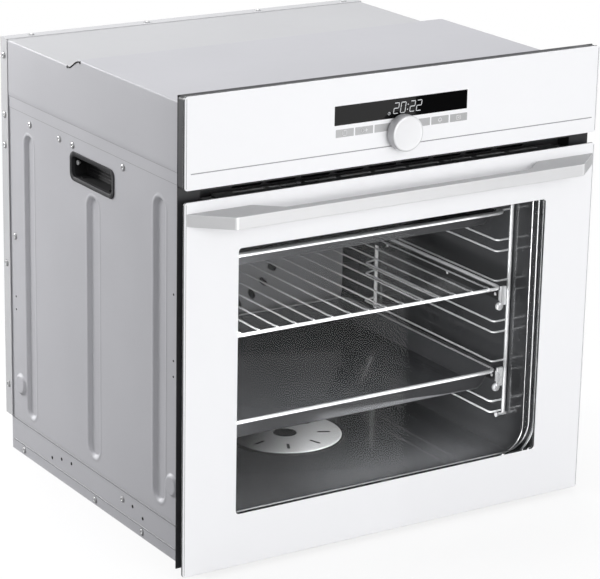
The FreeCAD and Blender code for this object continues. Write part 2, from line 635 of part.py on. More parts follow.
def pan(half, front, rear, rim_z, depth, rim):
    """An enamelled tray with sloping walls and a flat rim."""
    sheet = TRAY_SHEET
    taper = 5.0
    base = rim_z - depth

    def frustum(grow, z0, z1):
        low = [(-half + taper + grow, front + taper + grow), (half - taper - grow, front + taper + grow),
               (half - taper - grow, rear - taper - grow), (-half + taper + grow, rear - taper - grow)]
        high = [(-half + grow, front + grow), (half - grow, front + grow), (half - grow, rear - grow),
                (-half + grow, rear - grow)]
        rings = [[V(x, y, z0) for x, y in low + low[:1]], [V(x, y, z1) for x, y in high + high[:1]]]
        return Part.makeLoft([Part.makePolygon(ring) for ring in rings], True)

    outer = frustum(0.0, base, rim_z)
    inner = frustum(sheet, base + sheet, rim_z + sheet)
    lip = box(-half - rim, half + rim, front - rim, rear + rim, rim_z - sheet, rim_z)
    return join([outer, lip]).cut(inner)


def baking_tray():
    """Deep tray on the lower rails."""
    rim_z = rail_level(1) + RAIL_HEIGHT - 1.0 + TRAY_SHEET
    return pan(RAIL_IN - 2.0, SHELF_FRONT + 6, SHELF_REAR - 14, rim_z, 26.0, 6.5)


def shallow_tray():
    """Shallow tray that rests on the top wires of the side racks."""
    rim_z = RACK_LEVELS[5] + WIRE_R + TRAY_SHEET
    return pan(208.0, RACK_FRONT - 6, RACK_REAR + 20, rim_z, 19.0, 10.0)


# ---------------------------------------------------------------- fan, lamp and probe
def convection_fan():
    """Bladed wheel on its shaft, in front of the rear wall."""
    disc = rod((0, 472, FAN_Z), (0, 473.2, FAN_Z), FAN_R)
    hub = rod((0, 455, FAN_Z), (0, 474, FAN_Z), 9)
    shaft = rod((0, 474, FAN_Z), (0, 500, FAN_Z), SHAFT_R)
    blades = []
    for n in range(12):
        blade = box(28, FAN_R - 2, 450, 472.2, -0.6, 0.6)
        blade.rotate(V(28, 0, 0), V(0, 1, 0), 18)
        blade.rotate(V(0, 0, 0), V(0, 1, 0), 30 * n)
        blade.translate(V(0, 0, FAN_Z))
        blades.append(blade)
    return join([disc, hub, shaft] + blades)


def convection_motor():
    """Motor behind the cavity's rear wall, with its mounting plate and bearing."""
    plate = box(-42, 42, CAVITY_REAR + 1.2, CAVITY_REAR + 2.7, FAN_Z - 42, FAN_Z + 42)
    body = rod((0, CAVITY_REAR + 2.7, FAN_Z), (0, REAR_MAX - 8, FAN_Z), MOTOR_R)
    corners = box(-43, 43, 470, 500, FAN_Z - 43, FAN_Z + 43).cut(rod((0, 470, FAN_Z), (0, 500, FAN_Z), 43.5))
    bore = rod((0, 478, FAN_Z), (0, 501, FAN_Z), SHAFT_R + FIT)
    end_slots = [upright_slot(18 * math.cos(t), FAN_Z + 18 * math.sin(t), 12, 4, math.degrees(t), 520, 530)
                 for t in [math.pi * n / 3 for n in range(6)]]
    return join([plate, body]).cut(join([corners, bore] + end_slots))


def lamp_socket():
    """Socket for the oven lamp, let into the ceiling, with its capsule bulb."""
    radius = LAMP_R - 1
    cup = tube((LAMP_X, LAMP_Y, CAVITY_TOP + 1.2), (LAMP_X, LAMP_Y, CAVITY_TOP + 26), radius, radius - 1.5)
    roof = rod((LAMP_X, LAMP_Y, CAVITY_TOP + 25), (LAMP_X, LAMP_Y, CAVITY_TOP + 27), radius)
    socket = rod((LAMP_X, LAMP_Y, CAVITY_TOP + 17), (LAMP_X, LAMP_Y, CAVITY_TOP + 25), 9)
    stem = rod((LAMP_X, LAMP_Y, CAVITY_TOP + 11), (LAMP_X, LAMP_Y, CAVITY_TOP + 17), 5)
    bulb = Part.makeSphere(7.5, V(LAMP_X, LAMP_Y, CAVITY_TOP + 6.5))
    return group([join([cup, roof, socket]), join([stem, bulb])])


def lamp_lens():
    """Domed glass cover with a rim under the ceiling."""
    rim = rod((LAMP_X, LAMP_Y, CAVITY_TOP - 4), (LAMP_X, LAMP_Y, CAVITY_TOP), LAMP_R)
    neck = rod((LAMP_X, LAMP_Y, CAVITY_TOP), (LAMP_X, LAMP_Y, CAVITY_TOP + 2), 23.5)
    dome = Part.makeSphere(40, V(LAMP_X, LAMP_Y, CAVITY_TOP + 27)).common(
        rod((LAMP_X, LAMP_Y, CAVITY_TOP - 14), (LAMP_X, LAMP_Y, CAVITY_TOP - 4), LAMP_R))
    hollow = rod((LAMP_X, LAMP_Y, CAVITY_TOP - 6), (LAMP_X, LAMP_Y, CAVITY_TOP + 3), 20)
    return join([rim, neck, dome]).cut(hollow)


def thermostat_probe():
    """Temperature sensor rod beside the baffle, with a flange outside the rear wall."""
    stem = rod((PROBE_X, 400, PROBE_Z), (PROBE_X, 486, PROBE_Z), 2.5)
    flange = box(PROBE_X - 8, PROBE_X + 8, CAVITY_REAR + 1.2, CAVITY_REAR + 2.4, PROBE_Z - 14, PROBE_Z + 14)
    hole = box(PROBE_X - 9, PROBE_X + 9, 480, 490, PROBE_Z - 15, PROBE_Z - 4.6)
    return join([stem, flange.cut(hole)])


# ---------------------------------------------------------------- cooling air and electrics
def air_duct():
    """Flat channel that leads the cooling air over the cavity to the front."""
    front, rear = RECESS_BACK + SHEET, BLOWER_Y - BLOWER_R - 0.5
    inside = DUCT_HALF - SHEET
    outer = box(-DUCT_HALF, DUCT_HALF, front, rear, DUCT_BOTTOM, DUCT_TOP)
    inner = box(-inside, inside, front - 1, rear + 1, DUCT_BOTTOM + SHEET, DUCT_TOP - SHEET)
    return outer.cut(inner)


def blower_housing():
    """Round blower case with a square outlet towards the duct."""
    z0, z1 = DUCT_BOTTOM, BLOWER_TOP
    radius, inner = BLOWER_R, BLOWER_R - SHEET
    case = rod((0, BLOWER_Y, z0), (0, BLOWER_Y, z1), radius)
    outlet = box(-radius, radius, BLOWER_Y - radius, BLOWER_Y, z0, DUCT_TOP)
    inside = rod((0, BLOWER_Y, z0 + SHEET), (0, BLOWER_Y, z1 - SHEET), inner)
    passage = box(-inner, inner, BLOWER_Y - radius - 1, BLOWER_Y, z0 + SHEET, DUCT_TOP - SHEET)
    eye = rod((0, BLOWER_Y, z1 - 3), (0, BLOWER_Y, z1 + 3), 38)
    return join([case, outlet]).cut(join([inside, passage, eye]))


def cooling_impeller():
    """Forward-curved blower wheel on an upright shaft."""
    z0 = DUCT_BOTTOM + 4.0
    disc = rod((0, BLOWER_Y, z0), (0, BLOWER_Y, z0 + 1.2), IMPELLER_R)
    top_ring = tube((0, BLOWER_Y, z0 + 25), (0, BLOWER_Y, z0 + 26.5), IMPELLER_R, IMPELLER_R - 12)
    hub = rod((0, BLOWER_Y, z0), (0, BLOWER_Y, z0 + 14), 8)
    shaft = rod((0, BLOWER_Y, z0 + 14), (0, BLOWER_Y, z0 + 46), SHAFT_R)
    blades = []
    for n in range(24):
        blade = box(IMPELLER_R - 11, IMPELLER_R - 1, -0.5, 0.5, z0 + 1, z0 + 25.5)
        blade.rotate(V(IMPELLER_R - 6, 0, 0), V(0, 0, 1), 30)
        blade.rotate(V(0, 0, 0), V(0, 0, 1), 15 * n)
        blade.translate(V(0, BLOWER_Y, 0))
        blades.append(blade)
    return join([disc, top_ring, hub, shaft] + blades)


def cooling_motor():
    """Blower motor on a three-armed bracket over the case."""
    z0 = BLOWER_TOP + 3.0
    body = rod((0, BLOWER_Y, z0), (0, BLOWER_Y, z0 + 34), 27)
    bore = rod((0, BLOWER_Y, z0 - 1), (0, BLOWER_Y, z0 + 12), SHAFT_R + FIT)
    arms = []
    for turn in (90, 210, 330):
        arm = box(20, 62, -5, 5, z0, z0 + 2)
        foot = box(56, 62, -5, 5, BLOWER_TOP, z0)
        for piece in (arm, foot):
            piece.rotate(V(0, 0, 0), V(0, 0, 1), turn)
            piece.translate(V(0, BLOWER_Y, 0))
            arms.append(piece)
    return join([body] + arms).cut(bore)


def control_board():
    """Power board on stand-offs, with relays, a transformer and a capacitor."""
    z0 = DUCT_TOP + 16.0
    face = z0 + 1.6
    board = box(-215, -95, 60, 180, z0, face)
    relays = [box(-205 + 24 * n, -187 + 24 * n, 75, 93, face, face + 16.4) for n in range(4)]
    transformer = box(-200, -160, 125, 160, face, face + 27.4)
    capacitor = rod((-125, 140, face), (-125, 140, face + 22.4), 9)
    legs = [rod((x, y, DUCT_TOP), (x, y, z0), 3) for x in (-208, -102) for y in (67, 173)]
    return join([board, transformer, capacitor] + relays + legs)


def encoder_body():
    """Rotary encoder with a push switch behind the knob."""
    bush = rod((0, CONTROL_GLASS + 0.3, KNOB_Z), (0, 8, KNOB_Z), 5.0)
    block = box(-7, 7, 8, 21, KNOB_Z - 7, KNOB_Z + 7)
    bore = rod((0, 4, KNOB_Z), (0, 13, KNOB_Z), SHAFT_R + FIT)
    chamber = rod((0, 12.6, KNOB_Z), (0, 18.6 + KNOB_PUSH, KNOB_Z), 4.6)
    return join([bush, block]).cut(join([bore, chamber]))


def display_module():
    """Display unit on the back of the control glass."""
    low, high, edge = DISPLAY_BOTTOM, DISPLAY_TOP, DISPLAY_HALF + 6
    window = box(-DISPLAY_HALF, DISPLAY_HALF, CONTROL_GLASS, CONTROL_GLASS + 4, low, high)
    board = box(-edge, edge, CONTROL_GLASS + 4, CONTROL_GLASS + 5.6, low, high)
    chips = [box(x, x + 14, CONTROL_GLASS + 5.6, CONTROL_GLASS + 7.4, 543, 553) for x in (-80, -20, 40)]
    return join([window, board] + chips)


def touch_strip():
    """Touch sensor strip with a gap for the knob's bush."""
    strip = box(-99, 99, CONTROL_GLASS, CONTROL_GLASS + 1.6, 519, 534.5)
    pads = []
    for n in (0, 1, 2, 4, 5, 6):
        left = KEY_START + KEY_PITCH * n
        pads.append(box(left, left + KEY_WIDTH, CONTROL_GLASS + 1.6, CONTROL_GLASS + 2.2, 522.5, 532))
    hole = box(-12, 12, 4, 9, 508, 533)
    return join([strip] + pads).cut(hole)


def control_carrier():
    """Dark plastic tray that holds the control glass in front of the frame."""
    front, back = CONTROL_GLASS, FLANGE_FRONT
    outer = box(-FRONT_HALF + 3, FRONT_HALF - 3, front, back, CONTROL_BOTTOM + 2, FRONT_TOP - 3)
    inner = box(-FRONT_HALF + 6, FRONT_HALF - 6, front - 1, back - 2, CONTROL_BOTTOM + 5, FRONT_TOP - 6)
    windows = [box(-12, 12, 10, 20, KNOB_Z - 12, KNOB_Z + 12),
               box(-DISPLAY_HALF - 7, DISPLAY_HALF + 7, 10, 20, DISPLAY_BOTTOM - 1, DISPLAY_TOP + 1)]
    tab = box(262, 286, front + 3, back, FRONT_TOP - 3, FRONT_TOP - 0.8)
    return join([outer.cut(join([inner] + windows)), tab])


def control_glass():
    """White-backed glass of the control panel, with the hole for the knob's shaft."""
    glass = panel(-FRONT_HALF, FRONT_HALF, CONTROL_BOTTOM, FRONT_TOP, 0, CONTROL_GLASS, CORNER)
    return glass.cut(rod((0, -1, KNOB_Z), (0, 6, KNOB_Z), 5.5))


# ---------------------------------------------------------------- knob
def control_knob():
    """Round dial with a slightly dished face and a socket for the shaft."""
    body = rod((0, KNOB_BACK, KNOB_Z), (0, KNOB_FRONT, KNOB_Z), KNOB_R)
    rims = [edge for edge in body.Edges if len(edge.Vertexes) == 1]
    front = [edge for edge in rims if abs(edge.BoundBox.YMax - KNOB_FRONT) < 0.1]
    body = body.makeFillet(1.4, front)
    dish = 530.0
    face = Part.makeSphere(dish, V(0, KNOB_FRONT + 0.4 - dish, KNOB_Z))
    socket = rod((0, KNOB_BACK + 1, KNOB_Z), (0, KNOB_BACK - 9, KNOB_Z), SHAFT_R)
    return body.cut(face).cut(socket)


def encoder_shaft():
    """Metal shaft from the knob into the encoder."""
    return rod((0, KNOB_BACK - 9, KNOB_Z), (0, 14.0, KNOB_Z), SHAFT_R)


def encoder_plunger():
    """Push-switch disc that the shaft presses."""
    return rod((0, 14.3, KNOB_Z), (0, 16.2, KNOB_Z), 4.2)


# ---------------------------------------------------------------- door
def door_outer_glass():
    """Front pane, with the two holes for the handle screws."""
    pane = panel(-FRONT_HALF, FRONT_HALF, DOOR_BOTTOM, DOOR_TOP, 0, DOOR_GLASS, CORNER)
    holes = [rod((x, -1, HANDLE_Z), (x, 5, HANDLE_Z), 2.3) for x in (-HANDLE_SCREW_X, HANDLE_SCREW_X)]
    return pane.cut(join(holes))


def door_middle_glass():
    """Heat-reflecting pane held in the profiles."""
    return panel(-246, 246, 34, 458, MIDDLE_FRONT, MIDDLE_BACK, 6)


def door_inner_glass():
    """Pane that closes on the gasket."""
    return panel(-259, 259, 26, 463, INNER_FRONT, INNER_BACK, 8)


def door_side_profile(side):
    """Upright aluminium channel that holds the panes, drawn on the right."""
    near, far, sheet = PROFILE_IN, PROFILE_OUT, PROFILE_SHEET
    body = box(near, far, DOOR_GLASS, INNER_FRONT, 24, 466)
    groove = box(near - 1, far - 3.5, DOOR_GLASS + sheet, INNER_FRONT - sheet, 23, 467)
    step = box(near - 3, near, MIDDLE_FRONT - 3, MIDDLE_FRONT, 36, 456)
    web = box(near - 1, far, MIDDLE_FRONT - 3, MIDDLE_FRONT, 34, 458)
    return side_of(join([body.cut(groove), step, web]), side)


def door_top_trim():
    """Vented rail along the top of the door."""
    half = PROFILE_IN - 0.5
    rail = box(-half, half, DOOR_GLASS, INNER_FRONT, 459, 469)
    hollow = box(-half - 3, half + 3, DOOR_GLASS + PROFILE_SHEET, INNER_FRONT - PROFILE_SHEET,
                 457, 469 - PROFILE_SHEET)
    cutters = [hollow]
    for n in range(-4, 5):
        vent = upright_slot(0, 0, 44, 6, 0, -3, 3)
        vent.rotate(V(0, 0, 0), V(1, 0, 0), 90)
        vent.translate(V(50 * n, 20, 468))
        cutters.append(vent)
    return rail.cut(join(cutters))


def door_bottom_trim():
    """Channel along the bottom of the door, between the hinges."""
    rail = box(-230, 230, DOOR_GLASS, INNER_FRONT, 21, 33)
    hollow = box(-232, 232, DOOR_GLASS + PROFILE_SHEET, INNER_FRONT - PROFILE_SHEET,
                 21 + PROFILE_SHEET, 34)
    return rail.cut(hollow)


def door_handle():
    """Flat bar whose ends slope back to the glass in solid wedges."""
    outline = [(-295, 0), (-251, HANDLE_FRONT), (251, HANDLE_FRONT), (295, 0), (208, 0), (177, HANDLE_BACK),
               (-177, HANDLE_BACK), (-208, 0)]
    points = [V(x, y, HANDLE_BOTTOM) for x, y in outline]
    bar = Part.Face(Part.makePolygon(points + points[:1])).extrude(V(0, 0, HANDLE_TOP - HANDLE_BOTTOM))
    sockets = [rod((x, -13, HANDLE_Z), (x, 1, HANDLE_Z), 2.1) for x in (-HANDLE_SCREW_X, HANDLE_SCREW_X)]
    return bar.cut(join(sockets))


def handle_screws():
    """Screws from inside the door into the handle's ends."""
    screws = []
    for x in (-HANDLE_SCREW_X, HANDLE_SCREW_X):
        shank = rod((x, -12, HANDLE_Z), (x, DOOR_GLASS, HANDLE_Z), 2.0)
        head = rod((x, DOOR_GLASS, HANDLE_Z), (x, DOOR_GLASS + 3, HANDLE_Z), 4.5)
        screws.append(join([shank, head]))
    return group(screws)


def hinge_arm(side):
    """Steel arm from the chassis to the door hinge, drawn on the right."""
    bar = box(ARM_IN, ARM_OUT, HINGE_Y, 112, HINGE_Z - EYE_R, HINGE_Z + EYE_R)
    eye = rod((ARM_IN, HINGE_Y, HINGE_Z), (ARM_OUT, HINGE_Y, HINGE_Z), EYE_R)
    bore = rod((ARM_IN - 1, HINGE_Y, HINGE_Z), (ARM_OUT + 1, HINGE_Y, HINGE_Z), PIN_R + FIT)
    return side_of(join([bar, eye]).cut(bore), side)


def hinge_receiver(side):
    """Low steel housing that holds the hinge arm on the base pan, drawn on the right."""
    near, far, low, high = ARM_IN - 5, ARM_OUT + 5, SHEET, 18.4
    wall = 1.5
    outer = box(near, far, 22, 116, low, high)
    inner = box(near + wall, far - wall, 20, 116 - wall, low + wall, high - 1.4)
    blocks = [box(near + wall, ARM_IN, 90, 108, low + wall, high - 1.4),
              box(ARM_OUT, far - wall, 90, 108, low + wall, high - 1.4)]
    return side_of(join([outer.cut(inner)] + blocks), side)


def hinge_leaf(side):
    """Door-side bracket that carries the hinge pin, drawn on the right."""
    cheek_in, cheek_out = ARM_OUT + 2.2, ARM_OUT + 4.2
    cheek = box(cheek_in, cheek_out, HINGE_Y - 4.4, HINGE_Y + 4.4, HINGE_Z - 4, 30)
    plate = box(ARM_IN - 3, PROFILE_IN - 0.2, DOOR_GLASS, DOOR_GLASS + 1.6, 18.5, 30)
    hole = rod((cheek_in - 1, HINGE_Y, HINGE_Z), (cheek_out + 1, HINGE_Y, HINGE_Z), PIN_R)
    return side_of(join([cheek, plate]).cut(hole), side)


def hinge_pins():
    """Pins through the door leaves and the chassis arms."""
    face = ARM_OUT + 4.2
    pins = []
    for side in (-1, 1):
        shank = rod((side * (ARM_IN - 2.5), HINGE_Y, HINGE_Z), (side * face, HINGE_Y, HINGE_Z), PIN_R)
        head = rod((side * face, HINGE_Y, HINGE_Z), (side * (face + 1.2), HINGE_Y, HINGE_Z), 3.4)
        pins.append(join([shank, head]))
    return group(pins)


# ---------------------------------------------------------------- write every node
def main():
    os.makedirs("parts", exist_ok=True)
    single = {
        "base_pan": base_pan, "top_cover": top_cover, "rear_cover": rear_cover,
        "casing_screws": casing_screws, "cable_gland": cable_gland,
        "terminal_block": terminal_block, "front_frame": front_frame, "cavity_shell": cavity_shell,
        "door_gasket": door_gasket, "insulation_blanket": insulation_blanket, "fan_baffle": fan_baffle,
        "baffle_screws": baffle_screws, "ring_element": ring_element, "grill_element": grill_element,
        "bottom_element": bottom_element, "floor_disc": floor_disc, "rack_studs": rack_studs,
        "wire_shelf": wire_shelf, "baking_tray": baking_tray, "shallow_tray": shallow_tray,
        "convection_fan": convection_fan, "convection_motor": convection_motor,
        "lamp_socket": lamp_socket, "lamp_lens": lamp_lens,
        "thermostat_probe": thermostat_probe, "air_duct": air_duct, "blower_housing": blower_housing,
        "cooling_impeller": cooling_impeller, "cooling_motor": cooling_motor,
        "control_board": control_board, "encoder_body": encoder_body,
        "display_module": display_module, "touch_strip": touch_strip, "control_carrier": control_carrier,
        "control_glass": control_glass, "control_knob": control_knob, "encoder_shaft": encoder_shaft,
        "encoder_plunger": encoder_plunger, "door_outer_glass": door_outer_glass,
        "door_middle_glass": door_middle_glass, "door_inner_glass": door_inner_glass,
        "door_top_trim": door_top_trim, "door_bottom_trim": door_bottom_trim, "door_handle": door_handle,
        "handle_screws": handle_screws, "hinge_pins": hinge_pins,
    }
    for name, build in single.items():
        save(name, build())
    for word, side in (("left", -1), ("right", 1)):
        save("side_panel_" + word, side_panel(side))
    for name, build in (("carry_grips", carry_grip), ("side_racks", side_rack),
                        ("door_side_profiles", door_side_profile), ("hinge_arms", hinge_arm),
                        ("hinge_receivers", hinge_receiver), ("hinge_leaves", hinge_leaf)):
        save(name, group([build(-1), build(1)]))
    for place, level in (("upper", 3), ("lower", 1)):
        for name, build in (("fixed", rail_fixed), ("middle", rail_middle), ("slide", rail_slide)):
            save("rails_" + place + "_" + name, group([build(level, -1), build(level, 1)]))


main()
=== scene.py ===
"""Looks for a built-in wall oven: white glass front, grey sheet casing, enamelled cavity.

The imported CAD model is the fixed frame. Lengths in the tables below are millimetres, measured
from the front face of the glass (y), the underside (z) and the middle (x); at() turns them into
the row frame.
"""

import math
import random

import bmesh
import bpy
from mathutils import Matrix, Vector


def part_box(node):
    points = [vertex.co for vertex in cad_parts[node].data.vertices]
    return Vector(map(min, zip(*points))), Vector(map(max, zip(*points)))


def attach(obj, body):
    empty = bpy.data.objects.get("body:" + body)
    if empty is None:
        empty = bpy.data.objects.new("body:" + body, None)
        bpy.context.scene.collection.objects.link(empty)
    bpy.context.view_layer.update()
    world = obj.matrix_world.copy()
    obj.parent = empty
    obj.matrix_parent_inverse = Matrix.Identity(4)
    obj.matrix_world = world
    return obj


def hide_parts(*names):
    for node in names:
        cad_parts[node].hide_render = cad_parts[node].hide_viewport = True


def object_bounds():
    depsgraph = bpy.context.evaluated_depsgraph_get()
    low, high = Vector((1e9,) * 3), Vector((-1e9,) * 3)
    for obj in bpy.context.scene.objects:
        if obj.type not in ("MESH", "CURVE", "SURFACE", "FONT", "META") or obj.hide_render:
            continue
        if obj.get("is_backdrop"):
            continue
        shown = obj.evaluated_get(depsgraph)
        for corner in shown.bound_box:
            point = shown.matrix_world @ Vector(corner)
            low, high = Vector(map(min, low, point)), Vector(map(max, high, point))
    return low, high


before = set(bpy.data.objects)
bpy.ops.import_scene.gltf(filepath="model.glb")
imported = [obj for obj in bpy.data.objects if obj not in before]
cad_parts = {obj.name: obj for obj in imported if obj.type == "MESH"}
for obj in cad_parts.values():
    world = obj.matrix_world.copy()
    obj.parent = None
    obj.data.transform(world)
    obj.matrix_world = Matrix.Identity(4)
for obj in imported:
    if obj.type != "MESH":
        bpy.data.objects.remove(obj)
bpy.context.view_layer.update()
random.seed(7)

MM = 0.001
GLASS_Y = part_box("door_outer_glass")[0].y      # front face of the glass in the row frame
ROOT = "oven_body"


def at(x, y, z):
    """A point in the row frame from millimetres measured off the glass front."""
    return Vector((x * MM, GLASS_Y + y * MM, z * MM))


def limits(node):
    """The box of a CAD node in millimetres off the glass front."""
    low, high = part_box(node)
    return (low.x / MM, high.x / MM, (low.y - GLASS_Y) / MM, (high.y - GLASS_Y) / MM,
            low.z / MM, high.z / MM)


# ---------------------------------------------------------------- materials
def link(tree, a, b):
    tree.links.new(a, b)


def node(tree, kind, **inputs):
    """A shader node with the named inputs set or linked."""
    made = tree.nodes.new(kind)
    for name, value in inputs.items():
        socket = made.inputs[name.replace("_", " ")]
        if isinstance(value, bpy.types.NodeSocket):
            link(tree, value, socket)
        else:
            socket.default_value = value
    return made


def scaled(tree, stretch):
    """Object coordinates, stretched for a grain that runs one way."""
    coords = tree.nodes.new("ShaderNodeTexCoord")
    mapping = node(tree, "ShaderNodeMapping", Vector=coords.outputs["Object"])
    mapping.inputs["Scale"].default_value = stretch
    return mapping.outputs["Vector"]


def blend_colours(tree, factor, first, second):
    mix = tree.nodes.new("ShaderNodeMix")
    mix.data_type = "RGBA"
    for index, value in ((0, factor), (6, first), (7, second)):
        if isinstance(value, bpy.types.NodeSocket):
            link(tree, value, mix.inputs[index])
        else:
            mix.inputs[index].default_value = value
    return mix.outputs[2]


def shade(colour, gain):
    return (*[min(1.0, c * gain) for c in colour], 1.0)


def ranged(tree, value, low, high, source_low=0.3, source_high=0.7):
    made = node(tree, "ShaderNodeMapRange", Value=value)
    for name, number in (("From Min", source_low), ("From Max", source_high),
                         ("To Min", low), ("To Max", high)):
        made.inputs[name].default_value = number
    return made.outputs["Result"]


def surface(name, colour, rough, metal=0.0, vary=0.06, spread=0.08, patch=7.0, grain=900.0, bump=0.1,
            depth=0.0001, stretch=(1, 1, 1), coat=0.0, specks=None, flecks=900.0, aniso=0.0, ior=1.45,
            smears=0.0, glow=0.0):
    """A finished surface: patchy colour, uneven gloss, fine relief and, where asked, enamel specks."""
    mat = bpy.data.materials.new(name)
    mat.use_nodes = True
    tree = mat.node_tree
    bsdf = tree.nodes["Principled BSDF"]
    place = scaled(tree, (1, 1, 1))
    wide = node(tree, "ShaderNodeTexNoise", Vector=place, Scale=patch, Detail=4.0, Roughness=0.6)
    fine = node(tree, "ShaderNodeTexNoise", Vector=scaled(tree, stretch), Scale=grain, Detail=3.0)
    tone = blend_colours(tree, ranged(tree, wide.outputs["Fac"], 0.0, 1.0),
                         shade(colour, 1 - vary), shade(colour, 1 + vary))
    tone = blend_colours(tree, ranged(tree, fine.outputs["Fac"], 0.0, 0.5),
                         tone, shade(colour, 1 - 1.5 * vary))
    gloss = ranged(tree, wide.outputs["Fac"], max(0.02, rough - spread), rough + spread)
    if smears:
        rub = node(tree, "ShaderNodeTexNoise", Vector=scaled(tree, (1, 1, 0.35)), Scale=26.0, Detail=6.0,
                   Roughness=0.7)
        more = node(tree, "ShaderNodeMath", Value=gloss)
        more.operation = "ADD"
        link(tree, ranged(tree, rub.outputs["Fac"], 0.0, smears, 0.5, 0.75), more.inputs[1])
        gloss = more.outputs["Value"]
    height = fine.outputs["Fac"]
    if specks:
        cells = node(tree, "ShaderNodeTexVoronoi", Vector=place, Scale=flecks)
        dots = ranged(tree, cells.outputs["Distance"], 1.0, 0.0, 0.10, 0.22)
        pick = node(tree, "ShaderNodeTexNoise", Vector=place, Scale=flecks * 0.6)
        chosen = node(tree, "ShaderNodeMath", Value=dots)
        chosen.operation = "MULTIPLY"
        link(tree, ranged(tree, pick.outputs["Fac"], 0.0, 1.0, 0.52, 0.6), chosen.inputs[1])
        tone = blend_colours(tree, chosen.outputs["Value"], tone, (*specks, 1.0))
        peel = node(tree, "ShaderNodeTexNoise", Vector=place, Scale=160.0, Detail=2.0)
        height = peel.outputs["Fac"]
    link(tree, tone, bsdf.inputs["Base Color"])
    link(tree, gloss, bsdf.inputs["Roughness"])
    relief = node(tree, "ShaderNodeBump", Height=height, Strength=bump, Distance=depth)
    link(tree, relief.outputs["Normal"], bsdf.inputs["Normal"])
    bsdf.inputs["Metallic"].default_value = metal
    bsdf.inputs["IOR"].default_value = ior
    bsdf.inputs["Anisotropic"].default_value = aniso
    bsdf.inputs["Coat Weight"].default_value = coat
    bsdf.inputs["Coat Roughness"].default_value = 0.03
    if glow:
        link(tree, tone, bsdf.inputs["Emission Color"])
        bsdf.inputs["Emission Strength"].default_value = glow
    return mat


def pane(name, tint, mirror):
    """Clear glass that light passes straight through, with a faint film of handling marks."""
    mat = bpy.data.materials.new(name)
    mat.use_nodes = True
    tree = mat.node_tree
    tree.nodes.clear()
    out = tree.nodes.new("ShaderNodeOutputMaterial")
    film = node(tree, "ShaderNodeTexNoise", Vector=scaled(tree, (1, 1, 0.5)), Scale=14.0, Detail=5.0)
    gloss = node(tree, "ShaderNodeBsdfGlossy", Color=(1, 1, 1, 1),
                 Roughness=ranged(tree, film.outputs["Fac"], 0.01, 0.05))
    clear = node(tree, "ShaderNodeBsdfTransparent",
                 Color=blend_colours(tree, ranged(tree, film.outputs["Fac"], 0.0, 1.0),
                                     (*tint, 1.0), shade(tint, 0.97)))
    facing = tree.nodes.new("ShaderNodeFresnel")
    facing.inputs["IOR"].default_value = mirror
    mix = tree.nodes.new("ShaderNodeMixShader")
    link(tree, facing.outputs["Fac"], mix.inputs[0])
    link(tree, clear.outputs["BSDF"], mix.inputs[1])
    link(tree, gloss.outputs["BSDF"], mix.inputs[2])
    link(tree, mix.outputs["Shader"], out.inputs["Surface"])
    return mat


BRUSH_X = (0.03, 1, 1)      # stretches a grain along X
BRUSH_Y = (1, 0.03, 1)
BRUSH_Z = (1, 1, 0.03)

